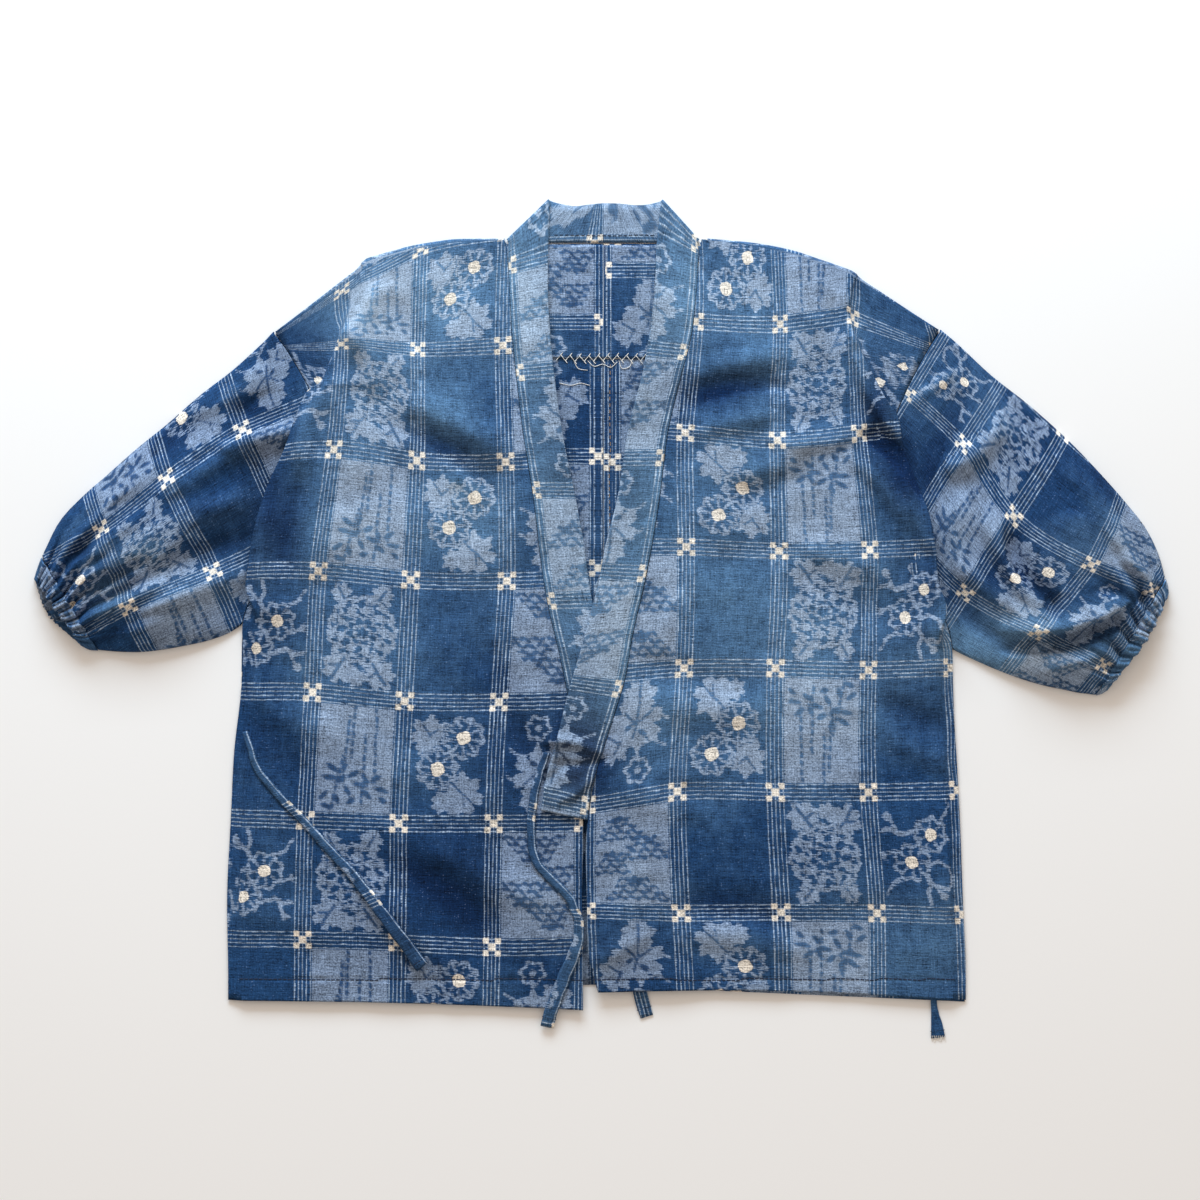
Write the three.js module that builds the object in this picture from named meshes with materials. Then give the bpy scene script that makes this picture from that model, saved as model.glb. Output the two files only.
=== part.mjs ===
// A noragi work jacket of indigo kasuri cloth, laid out flat on its back with both fronts up.
// Units are millimetres, +Z up. Right and left are the wearer's, so the right side is at -X.
import * as THREE from 'three';

// Cloth thicknesses
const CLOTH = 1.2;          // one layer of the body and sleeve cloth, with its waves
const LINING = 0.9;         // thin cotton inside the shoulders
const BAND = 2.2;           // the collar, folded double
const CUFF = 1.4;           // gathered casing at the wrist
const TIE = 1.4;            // narrow strip folded in three

// How the layers lie on each other: height of the middle of each layer above the table
const BACK_Z = CLOTH / 2;
const LINING_Z = 2.1;
const HIDDEN_TIE_Z = 2.3;
const FRONT_Z = 4;
const BAND_LOW_Z = BAND / 2;
const BAND_HIGH_Z = 4.2;
const SLEEVE_SEAM_Z = 3;    // upper cloth of a sleeve where it is sewn to the front
const SIDE_SEAM_Z = 2.1;    // front cloth where it is sewn to the back below the arm

// Spaces left between sewn pieces
const SEAM_GAP = 0.5;
const ARM_GAP = 0.8;
const SHOULDER_GAP = 2.4;   // at the shoulder, where the turned edge of the body stands out

// Soft roll of the front over the root of the sleeve
const ROLL = 5.6;           // length of cloth in each turn of the roll
const ROLL_RISE = 60;       // width over which the front rises to the roll
const ROLL_HOLD = 12;       // width beyond the tuck that stays at the height of the roll
const LIFT_HOLD = 50;       // width beside the opening that stays at full height
const LIFT_FALL = 80;       // width over which it comes down again

// The seam of a sleeve is drawn inwards under the roll, more sharply above its middle than below
const DRAWN_BELOW = 1.8;

// Cutting table: the tables below measure from its left and top edges
const CENTRE_X = 601.49;
const CENTRE_Y = 618.7;
const CENTRE_BACK = 603.5;
const NECK_BACK_Y = 243.2;

const at = (x, y, z) => new THREE.Vector3(x - CENTRE_X, CENTRE_Y - y, z);
const lerp = (a, b, t) => a + (b - a) * t;
const clamp01 = (t) => Math.min(1, Math.max(0, t));
const smooth = (t) => clamp01(t) ** 2 * (3 - 2 * clamp01(t));
const table = (names, rows) => rows.map((row) => Object.fromEntries(names.map((n, i) => [n, row[i]])));

// Points between rows of points, on a smooth curve through all of them.
function between(rows, steps) {
  const dense = [];
  for (let i = 0; i < rows.length - 1; i++) {
    const before = rows[Math.max(0, i - 1)];
    const after = rows[Math.min(rows.length - 1, i + 2)];
    const count = Array.isArray(steps) ? steps[i] : steps;
    for (let k = 0; k < count; k++) {
      const t = k / count;
      dense.push(rows[i].map((p, j) => {
        const q = rows[i + 1][j];
        const slopeP = q.clone().sub(before[j]).multiplyScalar(0.5);
        const slopeQ = after[j].clone().sub(p).multiplyScalar(0.5);
        const a = 2 * t ** 3 - 3 * t ** 2 + 1;
        const b = t ** 3 - 2 * t ** 2 + t;
        const c = 3 * t ** 2 - 2 * t ** 3;
        const d = t ** 3 - t ** 2;
        return p.clone().multiplyScalar(a).addScaledVector(slopeP, b)
          .addScaledVector(q, c).addScaledVector(slopeQ, d);
      }));
    }
  }
  dense.push(rows[rows.length - 1]);
  return dense;
}

// A closed wall of cloth round a grid of middle points. `here(i, j)` tells whether the cell
// between rows i, i+1 and columns j, j+1 is cloth. A round piece joins its last column to its first.
function clothWall(name, grid, wall, colour, { round = false, here = () => true } = {}) {
  const rows = grid.length;
  const cols = grid[0].length;
  const cellCols = round ? cols : cols - 1;
  const next = (j) => (round ? (j + 1) % cols : j + 1);
  const isCloth = (i, j) => {
    if (i < 0 || i >= rows - 1) return false;
    if (round) return here(i, (j + cols) % cols);
    return j >= 0 && j < cellCols && here(i, j);
  };
  const normals = grid.map((row) => row.map(() => new THREE.Vector3()));
  for (let i = 0; i < rows - 1; i++) {
    for (let j = 0; j < cellCols; j++) {
      if (!isCloth(i, j)) continue;
      const k = next(j);
      const across = grid[i + 1][k].clone().sub(grid[i][j]);
      const other = grid[i + 1][j].clone().sub(grid[i][k]);
      const n = across.cross(other).normalize();
      for (const [a, b] of [[i, j], [i, k], [i + 1, j], [i + 1, k]]) normals[a][b].add(n);
    }
  }
  const positions = [];
  const index = new Map();
  const corner = (i, j, side) => {
    const key = (i * cols + j) * 2 + (side > 0 ? 1 : 0);
    if (!index.has(key)) {
      const p = grid[i][j].clone().addScaledVector(normals[i][j].normalize(), (side * wall) / 2);
      index.set(key, positions.length / 3);
      positions.push(p.x, p.y, p.z);
    }
    return index.get(key);
  };
  const faces = [];
  const rim = (a, b) => {
    const [au, bu, al, bl] = [corner(...a, 1), corner(...b, 1), corner(...a, -1), corner(...b, -1)];
    faces.push(au, al, bl, au, bl, bu);
  };
  for (let i = 0; i < rows - 1; i++) {
    for (let j = 0; j < cellCols; j++) {
      if (!isCloth(i, j)) continue;
      const k = next(j);
      for (const side of [1, -1]) {
        const [a, b] = [corner(i, j, side), corner(i, k, side)];
        const [c, d] = [corner(i + 1, k, side), corner(i + 1, j, side)];
        if (side > 0) faces.push(a, c, b, a, d, c);
        else faces.push(a, b, c, a, c, d);
      }
      if (!isCloth(i - 1, j)) rim([i, k], [i, j]);
      if (!isCloth(i + 1, j)) rim([i + 1, j], [i + 1, k]);
      if (!isCloth(i, j - 1)) rim([i, j], [i + 1, j]);
      if (!isCloth(i, j + 1)) rim([i + 1, k], [i, k]);
    }
  }
  let volume = 0;
  for (let f = 0; f < faces.length; f += 3) {
    const [a, b, c] = faces.slice(f, f + 3).map((v) => new THREE.Vector3().fromArray(positions, v * 3));
    volume += a.dot(b.cross(c));
  }
  if (volume < 0) faces.reverse();
  const geometry = new THREE.BufferGeometry();
  geometry.setAttribute('position', new THREE.Float32BufferAttribute(positions, 3));
  geometry.setIndex(faces);
  geometry.computeVertexNormals();
  const material = new THREE.MeshStandardMaterial({ color: colour, roughness: 0.9, metalness: 0 });
  const mesh = new THREE.Mesh(geometry, material);
  mesh.name = name;
  return mesh;
}

// Collar band. Each row is one section across it, from its free edge to its seam with the front.
const BAND_COLUMNS = ['freeX', 'freeY', 'seamX', 'seamY', 'z'];
const LEFT_BAND = table(BAND_COLUMNS, [
  [541, 810, 587.5, 819.5, 7.3],
  [547, 774, 592, 785, 7.2],
  [556, 742, 603, 750, 7.1],
  [565, 705, 614, 714, 7],
  [574, 672, 625, 677, 7],
  [583, 642, 632.5, 634, 7],
  [590, 615, 638, 610, 7],
  [598, 585, 643.5, 587, 7],
  [606, 543, 652, 543, 6.8],
  [617, 500, 659, 500, 6],
  [628, 430, 668, 430, 5],
  [643, 370, 682, 372, 4.6],
  [650, 330, 691, 336, 4.4],
  [655, 285, 696, 292, 4.3],
  [656.5, 245, 698, 260, BAND_HIGH_Z],
  [661, 201, 697.5, 241, BAND_HIGH_Z],
]);
const BACK_BAND = table(BAND_COLUMNS, [
  [661, 201, 697.5, 241, BAND_LOW_Z],
  [650, 204, 682, 242.2, BAND_LOW_Z],
  [637, 205, 662, 242.4, BAND_LOW_Z],
  [621, 203.5, 634, 242.4, BAND_LOW_Z],
  [604, 203, 604, 242.4, BAND_LOW_Z],
  [588, 204.5, 573, 242.4, BAND_LOW_Z],
  [575, 206, 546, 242.4, BAND_LOW_Z],
  [562, 204, 526, 242.2, BAND_LOW_Z],
  [550, 201, 508.5, 241, BAND_LOW_Z],
]);
const RIGHT_BAND = table(BAND_COLUMNS, [
  [550, 201, 508.5, 241, BAND_HIGH_Z],
  [548.5, 245, 508.5, 260, BAND_HIGH_Z],
  [548, 285, 510, 292, BAND_HIGH_Z],
  [550, 330, 512.5, 336, BAND_HIGH_Z],
  [554, 372, 516.5, 375, BAND_HIGH_Z],
  [562, 430, 523, 430, BAND_HIGH_Z],
  [576, 500, 534, 500, BAND_HIGH_Z],
  [584, 545, 539.5, 548, BAND_HIGH_Z],
  [590, 588, 545.5, 590, BAND_HIGH_Z],
  [596, 620, 551.5, 620, BAND_HIGH_Z],
  [602, 655, 560, 655, BAND_HIGH_Z],
  [609, 695, 568, 695, BAND_HIGH_Z],
  [618, 745, 577, 745, BAND_HIGH_Z],
  [627, 790, 584.3, 790, BAND_HIGH_Z],
  [628.5, 806, 585.3, 806, BAND_HIGH_Z],
]);
const BAND_CELLS = 3;
const bandSection = (row) => Array.from({ length: BAND_CELLS + 1 }, (_, j) => {
  const t = j / BAND_CELLS;
  return at(lerp(row.freeX, row.seamX, t), lerp(row.freeY, row.seamY, t), row.z);
});
// Half turn of the band about the slanting crease at the neck, from its high side to its low side.
function creaseTurn(row, outward, steps) {
  const radius = (BAND_HIGH_Z - BAND_LOW_Z) / 2;
  const sections = [];
  for (let k = 1; k < steps; k++) {
    const angle = (Math.PI * k) / steps;
    const shift = outward.clone().multiplyScalar(radius * Math.sin(angle));
    shift.z = radius * Math.cos(angle) + (BAND_HIGH_Z + BAND_LOW_Z) / 2;
    sections.push(bandSection({ ...row, z: 0 }).map((p) => p.add(shift)));
  }
  return sections;
}
const leftBand = between(LEFT_BAND.map(bandSection), 2);
const backBand = between(BACK_BAND.map(bandSection), 1);
const rightBand = between(RIGHT_BAND.map(bandSection), 2);
const leftTurn = creaseTurn(BACK_BAND[0], new THREE.Vector3(0.74, 0.67, 0), 5);
const rightTurn = creaseTurn(RIGHT_BAND[0], new THREE.Vector3(-0.69, 0.72, 0), 5).reverse();
const collarGrid = [...leftBand, ...leftTurn, ...backBand, ...rightTurn, ...rightBand];

// Where the seam of a band crosses a height on the table, as a distance from its left edge.
function seamAt(band, y) {
  const points = band.map((row) => row[BAND_CELLS]).map((p) => [p.x + CENTRE_X, CENTRE_Y - p.y]);
  points.sort((a, b) => a[1] - b[1]);
  for (let i = 0; i < points.length - 1; i++) {
    const [[x0, y0], [x1, y1]] = [points[i], points[i + 1]];
    if (y >= y0 && y <= y1) return lerp(x0, x1, (y - y0) / (y1 - y0));
  }
  return y < points[0][1] ? points[0][0] : points[points.length - 1][0];
}

// Line of a sleeve seam. `share` runs from the shoulder (0) to the underarm (1).
const SIDES = {
  right: {
    sign: -1, top: [276, 333], under: [243, 622], drawn: 70, band: rightBand,
    neck: [504.5, 240.5], centre: CENTRE_BACK - 0.2,
  },
  left: {
    sign: 1, top: [938, 331], under: [952, 648], drawn: 62, band: leftBand,
    neck: [701.5, 240], centre: CENTRE_BACK + 0.2,
  },
};
function drawnIn(share) {
  const bow = Math.max(0, Math.sin(Math.PI * share));
  return share < 0.5 ? bow : bow ** DRAWN_BELOW;
}
function sleeveSeam(side, share, drawn = side.drawn) {
  return [
    lerp(side.top[0], side.under[0], share) - side.sign * drawn * drawnIn(share),
    lerp(side.top[1], side.under[1], share),
  ];
}
// The sleeve is sewn edge to edge with the body, so it is drawn in along the same straight stitches.
function drawnAlong(shares, share) {
  const knots = [...shares].sort((a, b) => a - b);
  const k = Math.max(0, knots.findLastIndex((knot) => knot <= share));
  if (k >= knots.length - 1) return drawnIn(share);
  return lerp(drawnIn(knots[k]), drawnIn(knots[k + 1]), (share - knots[k]) / (knots[k + 1] - knots[k]));
}

// Front sections. Above the underarm `share` places the section's end on the sleeve seam; below it
// the end is given. `crest` is the outer edge of the roll where the roll is shallow, `turn` is how
// far the cloth turns under (180 = right back on itself), `tuck` the depth that lies under, `out`
// what is left beyond it. `lift` is the height at the opening, `sag` how low the middle hangs,
// `rise` how much the end of the roll still stands up beside the seam.
const FRONT_COLUMNS = ['innerX', 'innerY', 'share', 'endX', 'endY', 'crestX', 'crestY',
  'turn', 'tuck', 'out', 'lift', 'sag', 'rise'];
const o = null;
const RIGHT_FRONT = table(FRONT_COLUMNS, [
  [583, 1010, o, 228, 1000, o, o, 0, 2, 6, 4.2, -2],
  [583, 980, o, 228, 975, o, o, 0, 2, 6, 4.2, -1],
  [582, 900, o, 227, 895, o, o, 0, 2, 6, 4.2, 0],
  [583, 822, o, 231, 812, o, o, 0, 2, 6, 4.2, 0],
  [o, 762, o, 234, 752, o, o, 0, 2, 6, 4.2, 0],
  [o, 695, o, 241, 690, o, o, 0, 2, 6, 4.2, 0],
  [o, 652, o, 243, 652, o, o, 0, 2, 6, 4.2, 0, 2],
  [o, 618, 1, o, o, o, o, 0, 2, 6, 4.2, 0, 5],
  [o, 606, 0.95, o, o, o, o, 120, 2, 6, 4.2, 0],
  [o, 596, 0.9, o, o, o, o, 180, 13, 8, 4.2, 0],
  [o, 574, 0.82, o, o, o, o, 180, 29, 8, 4.2, 0],
  [o, 542, 0.7, o, o, o, o, 180, 52, 8, 4.2, 0],
  [o, 500, 0.55, o, o, o, o, 180, 65, 8, 4.2, 0],
  [o, 455, 0.4, o, o, o, o, 180, 49, 8, 4.2, 0],
  [o, 424, 0.27, o, o, o, o, 180, 26, 8, 4.2, 0],
  [o, 402, 0.2, o, o, o, o, 180, 7, 8, 4.2, 0],
  [o, 384, 0.15, o, o, 323, 384, 150, 2, o, 4.2, 0],
  [o, 365, 0.1, o, o, 329, 368, 110, 1.5, o, 4.2, 0],
  [o, 340, 0.055, o, o, 336, 350, 75, 1.5, o, 4.2, 0],
  [o, 305, 0.03, o, o, 345, 325, 50, 1.5, o, 4.2, 0],
  [o, 272, 0.012, o, o, 356, 294, 25, 1.5, o, 4.2, 0],
  [504.5, 240.5, 0, o, o, 364, 264, 0, 1.5, o, 4.2, -6],
]);
const LEFT_FRONT = table(FRONT_COLUMNS, [
  [598, 992, o, 966, 1000, o, o, 0, 2, 6, 6.6, -5],
  [590, 962, o, 966, 968, o, o, 0, 2, 6, 6.6, -3],
  [587, 900, o, 963, 900, o, o, 0, 2, 6, 6.6, 0],
  [587.4, 824, o, 960, 820, o, o, 0, 2, 6, 6.6, 0],
  [o, 765, o, 957, 762, o, o, 0, 2, 6, 6.6, 0],
  [o, 710, o, 954, 710, o, o, 0, 2, 6, 6.6, 0],
  [o, 677, o, 953, 680, o, o, 0, 2, 6, 6.6, 0, 2],
  [o, 648, 1, o, o, o, o, 0, 2, 6, 6.6, 0, 5],
  [o, 630, 0.94, o, o, o, o, 120, 2, 6, 6.6, 0],
  [o, 610, 0.88, o, o, o, o, 180, 11, 8, 6.6, 0],
  [o, 586, 0.8, o, o, o, o, 180, 18, 8, 6.4, 0],
  [o, 547, 0.68, o, o, o, o, 180, 38, 8, 6.2, 0],
  [o, 503, 0.55, o, o, o, o, 180, 46, 8, 5.6, 0],
  [o, 474, 0.45, o, o, o, o, 180, 35, 8, 5.2, 0],
  [o, 445, 0.36, o, o, o, o, 180, 20, 8, 4.8, 0],
  [o, 418, 0.27, o, o, o, o, 180, 7, 8, 4.6, 0],
  [o, 393, 0.23, o, o, 886, 405, 150, 2, o, 4.4, 0],
  [o, 366, 0.18, o, o, 876, 385, 110, 1.5, o, 4.4, 0],
  [o, 332, 0.12, o, o, 862, 357, 75, 1.5, o, 4.3, 0],
  [o, 300, 0.07, o, o, 852, 330, 50, 1.5, o, 4.3, 0],
  [o, 270, 0.03, o, o, 849, 300, 25, 1.5, o, 4.2, 0],
  [701.5, 240, 0, o, o, 855, 276, 0, 1.5, o, 4.2, -6],
]);
const PLAIN_CELLS = 4;
const TURN_CELLS = 4;
const OUT_CELLS = 2;

function frontSection(side, row) {
  const seamX = row.innerX ?? seamAt(side.band, row.innerY) + side.sign * SEAM_GAP;
  const inner = new THREE.Vector2(seamX, row.innerY);
  const [endX, endY] = row.share === null ? [row.endX, row.endY] : sleeveSeam(side, row.share);
  const end = new THREE.Vector2(endX, endY);
  const endZ = row.share === null ? SIDE_SEAM_Z : SLEEVE_SEAM_Z;
  const angle = THREE.MathUtils.degToRad(row.turn);
  const run = angle > 0 ? (ROLL * Math.sin(angle)) / angle : ROLL;
  const drop = angle > 0 ? (ROLL * (1 - Math.cos(angle))) / angle : 0;
  const crest = row.crestX === null ? end : new THREE.Vector2(row.crestX, row.crestY);
  const along = crest.clone().sub(inner).normalize();
  const aside = new THREE.Vector2(-along.y, along.x);
  const tuckRun = row.tuck * Math.cos(angle);
  let { out } = row;
  let onset;
  if (out === null) {
    onset = crest.clone().addScaledVector(along, -run);
    out = Math.max(3, end.clone().sub(onset).dot(along) - 2 * run - tuckRun);
  } else {
    onset = end.clone().addScaledVector(along, -(2 * run + tuckRun + out));
  }
  const total = end.clone().sub(onset);
  const slip = total.dot(aside);
  const reach = 2 * run + tuckRun + out;
  const stretch = total.dot(along) - reach;
  // the path of the cloth from the onset of the roll, as run and drop
  const path = [[0, 0]];
  for (let k = 1; k <= TURN_CELLS; k++) {
    const a = (angle * k) / TURN_CELLS;
    path.push(a > 0 ? [(ROLL * Math.sin(a)) / angle, (ROLL * (1 - Math.cos(a))) / angle]
      : [(ROLL * k) / TURN_CELLS, 0]);
  }
  const turned = [run + tuckRun, drop + row.tuck * Math.sin(angle)];
  path.push(turned);
  for (let k = 1; k <= TURN_CELLS; k++) {
    const a = angle * (1 - k / TURN_CELLS);
    path.push(angle > 0
      ? [turned[0] + run - (ROLL * Math.sin(a)) / angle,
        turned[1] + drop - (ROLL * (1 - Math.cos(a))) / angle]
      : [turned[0] + (ROLL * k) / TURN_CELLS, turned[1]]);
  }
  const last = path[path.length - 1];
  for (let k = 1; k <= OUT_CELLS; k++) path.push([last[0] + (out * k) / OUT_CELLS, last[1]]);
  const crestZ = Math.max(endZ + last[1], FRONT_Z + (row.rise ?? 0));
  const spare = crestZ - endZ - last[1];
  const points = [];
  const width = onset.distanceTo(inner);
  const hold = ROLL_HOLD + (row.turn > 90 ? row.tuck : 0);
  const plain = width - hold - ROLL_RISE;
  const places = Array.from({ length: PLAIN_CELLS + 1 }, (_, j) => (plain * j) / PLAIN_CELLS);
  places.push(width - hold - ROLL_RISE / 2, width - hold, width - hold / 2);
  for (const place of places) {
    const t = place / width;
    const lift = (row.lift - FRONT_Z) * (1 - smooth((place - LIFT_HOLD) / LIFT_FALL));
    const base = FRONT_Z + lift;
    const z = lerp(base, crestZ, smooth(1 - (width - hold - place) / ROLL_RISE));
    const sag = row.sag * Math.sin(Math.PI * t);
    points.push(at(lerp(inner.x, onset.x, t), lerp(inner.y, onset.y, t) + sag, z));
  }
  const lengths = [0];
  for (let k = 1; k < path.length; k++) {
    lengths.push(lengths[k - 1] + Math.hypot(path[k][0] - path[k - 1][0], path[k][1] - path[k - 1][1]));
  }
  path.forEach(([u, v], k) => {
    const f = lengths[k] / lengths[lengths.length - 1];
    const p = onset.clone().addScaledVector(along, u + stretch * f).addScaledVector(aside, slip * f);
    points.push(at(p.x, p.y, crestZ - v - spare * smooth(f)));
  });
  return points;
}

// Back sections: `centreY` is at the centre-back seam, and the end is a share of the sleeve seam or a
// side point. `kept` is how much of the shoulder line's slope the section keeps.
const BACK_COLUMNS = ['centreY', 'share', 'endX', 'endY', 'kept'];
const RIGHT_BACK = table(BACK_COLUMNS, [
  [246, 0.03, o, o, 0.97],
  [300, 0.15, o, o, 0.8],
  [360, 0.3, o, o, 0.55],
  [430, 0.48, o, o, 0.3],
  [505, 0.68, o, o, 0.12],
  [575, 0.87, o, o, 0],
  [625, 1, o, o, 0],
  [720, o, 240.5, 715, 0],
  [850, o, 230.5, 850, 0],
  [985, o, 230, 989, 0],
]);
const LEFT_BACK = table(BACK_COLUMNS, [
  [246, 0.03, o, o, 0.97],
  [300, 0.15, o, o, 0.8],
  [360, 0.3, o, o, 0.55],
  [430, 0.48, o, o, 0.3],
  [505, 0.68, o, o, 0.12],
  [585, 0.87, o, o, 0],
  [645, 1, o, o, 0],
  [730, o, 954, 735, 0],
  [850, o, 960, 855, 0],
  [986, o, 965, 1002, 0],
]);
const BACK_DRAWN = 6;
const NECK_CELLS = 4;
const SHOULDER_STEPS = 5;

// One body piece: front hem, over the shoulder, back hem.
function bodyGrid(side, frontRows, backRows) {
  const front = frontRows.map((row) => frontSection(side, row));
  const shoulder = front[front.length - 1];
  const pad = (row) => [...Array.from({ length: NECK_CELLS }, () => row[0].clone()), ...row];
  const grid = front.map(pad);
  // half turn over the shoulder, square to the shoulder line
  const outward = shoulder.map((p, j) => {
    const a = shoulder[Math.max(0, j - 1)];
    const b = shoulder[Math.min(shoulder.length - 1, j + 1)];
    const t = b.clone().sub(a).setZ(0).normalize();
    return new THREE.Vector3(-t.y, t.x, 0).multiplyScalar(side.sign);
  });
  for (let k = 1; k <= SHOULDER_STEPS; k++) {
    const angle = (Math.PI * k) / SHOULDER_STEPS;
    grid.push(pad(shoulder.map((p, j) => {
      const radius = (p.z - BACK_Z) / 2;
      const q = p.clone().addScaledVector(outward[j], radius * Math.sin(angle));
      q.z = BACK_Z + radius * (1 + Math.cos(angle));
      return q;
    })));
  }
  const shape = shoulder.map((p) => p.clone().setZ(BACK_Z));
  const first = shape[0];
  const last = shape[shape.length - 1];
  const lengths = shape.map((p) => p.distanceTo(first) / last.distanceTo(first));
  for (const row of backRows) {
    const [endX, endY] = row.share === null ? [row.endX, row.endY]
      : sleeveSeam(side, row.share, BACK_DRAWN);
    const end = at(endX, endY, BACK_Z);
    const neckX = lerp(side.neck[0], side.centre, 0.02);
    const t = (neckX - side.centre) / (endX - side.centre);
    const centreY = row === backRows[0] ? NECK_BACK_Y : row.centreY;
    const neckY = row === backRows[0] ? NECK_BACK_Y + 0.4 : lerp(centreY, endY, t * (1 - row.kept));
    const neck = at(neckX, neckY, BACK_Z);
    const inner = Array.from({ length: NECK_CELLS }, (_, j) => at(
      lerp(side.centre, neckX, j / NECK_CELLS), lerp(centreY, neckY, j / NECK_CELLS), BACK_Z));
    const shared = shape.map((p, j) => {
      const s = lengths[j];
      const straight = neck.clone().lerp(end, s);
      const slope = p.clone().sub(first.clone().lerp(last, s)).multiplyScalar(row.kept);
      return straight.add(slope);
    });
    grid.push([...inner, ...shared]);
  }
  const neckRow = front.length + SHOULDER_STEPS;
  return { grid, here: (i, j) => j >= NECK_CELLS || i >= neckRow };
}

// Sleeves. Each row is a ring: `top` and `under` are its folded edges, `bow` how far its upper half
// leans to the body, `puff` how high it stands, `wave` the depth of the gathers.
const RING_COLUMNS = ['topX', 'topY', 'underX', 'underY', 'bow', 'puff', 'wave'];
const RIGHT_SLEEVE = table(RING_COLUMNS, [
  [276, 333, 243, 622, 70, 0, 0],
  [260, 347, 238, 626, 10, 1.4, 0],
  [236, 369, 228, 632, 8, 9, 0],
  [200, 397, 206, 640, 0, 19, 0],
  [167, 426, 183, 645, 0, 26, 0],
  [136, 451, 160, 649, 0, 29, 0.3],
  [108, 476, 141, 651, 0, 27, 0.8],
  [83, 498, 124, 651, 0, 22, 1.5],
  [60, 523, 108, 650, 0, 16, 2.1],
  [43, 557, 98, 649, -1, 12, 2.4],
]);
const LEFT_SLEEVE = table(RING_COLUMNS, [
  [938, 331, 952, 648, 62, 0, 0],
  [958, 346, 958, 651, 14, 1.4, 0],
  [990, 376, 975, 659, 8, 9, 0],
  [1028, 406, 998, 669, 0, 19, 0],
  [1066, 440, 1022, 678, 0, 26, 0],
  [1098, 473, 1046, 685, 0, 29, 0.3],
  [1126, 505, 1066, 689, 0, 27, 0.8],
  [1146, 531, 1080, 692, 0, 22, 1.5],
  [1158, 556, 1089, 693, 0, 16, 2.1],
  [1164, 578, 1096, 694, -1, 12, 2.4],
]);
const CUFF_RINGS = {
  right: table(RING_COLUMNS, [
    [42, 559, 97, 649, -1, 12, 2.2],
    [38, 570, 88, 648, -4, 12, 1],
    [35, 580, 80, 644, -6, 11, 2.4],
  ]),
  left: table(RING_COLUMNS, [
    [1165, 580, 1097, 694, -1, 12, 2.2],
    [1167, 587, 1103, 692, -4, 12, 1],
    [1168, 594, 1108, 689, -7, 11, 2.4],
  ]),
};
const GATHERS = 7;          // gathers on each face of a sleeve
const HALF_POINTS = 28;     // points on each face
const EDGE_TURN = (SLEEVE_SEAM_Z - BACK_Z) / 2;

function ring(side, row, frontBow = drawnIn, backBow = drawnIn) {
  const top = new THREE.Vector2(row.topX, row.topY);
  const under = new THREE.Vector2(row.underX, row.underY);
  const down = under.clone().sub(top).normalize();
  const points = [];
  for (let j = 0; j <= HALF_POINTS; j++) {
    const t = j / HALF_POINTS;
    const p = top.clone().lerp(under, t);
    const rise = Math.sin(Math.PI * t) ** 0.7;
    const wave = row.wave * rise * Math.sin(2 * Math.PI * GATHERS * t);
    const x = p.x - side.sign * row.bow * frontBow(t);
    points.push(at(x, p.y, SLEEVE_SEAM_Z + row.puff * rise + wave));
  }
  const tip = under.clone().addScaledVector(down, EDGE_TURN);
  points.push(at(tip.x, tip.y, BACK_Z + EDGE_TURN));
  for (let j = HALF_POINTS; j >= 0; j--) {
    const t = j / HALF_POINTS;
    const p = top.clone().lerp(under, t);
    const lean = (row.bow / side.drawn) * BACK_DRAWN * backBow(t);
    const lift = row.wave * Math.sin(Math.PI * t) * (1 - Math.cos(2 * Math.PI * GATHERS * t)) * 0.4;
    points.push(at(p.x - side.sign * lean, p.y, BACK_Z + lift));
  }
  const tipTop = top.clone().addScaledVector(down, -EDGE_TURN);
  points.push(at(tipTop.x, tipTop.y, BACK_Z + EDGE_TURN));
  return points;
}
function sleeveGrid(side, rows, frontRows, backRows) {
  const gap = side.sign * ARM_GAP;
  const shares = (table) => table.map((row) => row.share).filter((share) => share !== null);
  const frontBow = (t) => drawnAlong(shares(frontRows), t);
  const backBow = (t) => drawnAlong([0, ...shares(backRows)], t);
  const [root, ...others] = rows;
  const sewn = { ...root, topX: root.topX + side.sign * SHOULDER_GAP, underX: root.underX + gap };
  return [ring(side, sewn, frontBow, backBow), ...others.map((row) => ring(side, row))];
}
const cuffGrid = (side, rows) => rows.map((row) => ring(side, row)
  .map((p) => p.setZ(p.z + (CUFF - CLOTH) / 2)));

// Inside lining below the neck: its top edge is caught by the collar and follows the shoulders.
const LINING_LEFT = 450;
const LINING_RIGHT = 756;
const LINING_BOTTOM = 358;
const LINING_COLUMNS = 14;
function liningGrid() {
  return [0, 0.25, 0.5, 0.75, 1].map((t) => Array.from({ length: LINING_COLUMNS + 1 }, (_, j) => {
    const x = lerp(LINING_LEFT, LINING_RIGHT, j / LINING_COLUMNS);
    const topY = 245 + 5 * smooth((Math.abs(x - 603) - 85) / 40);
    return at(x, lerp(topY, LINING_BOTTOM, t), LINING_Z);
  }));
}

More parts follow.
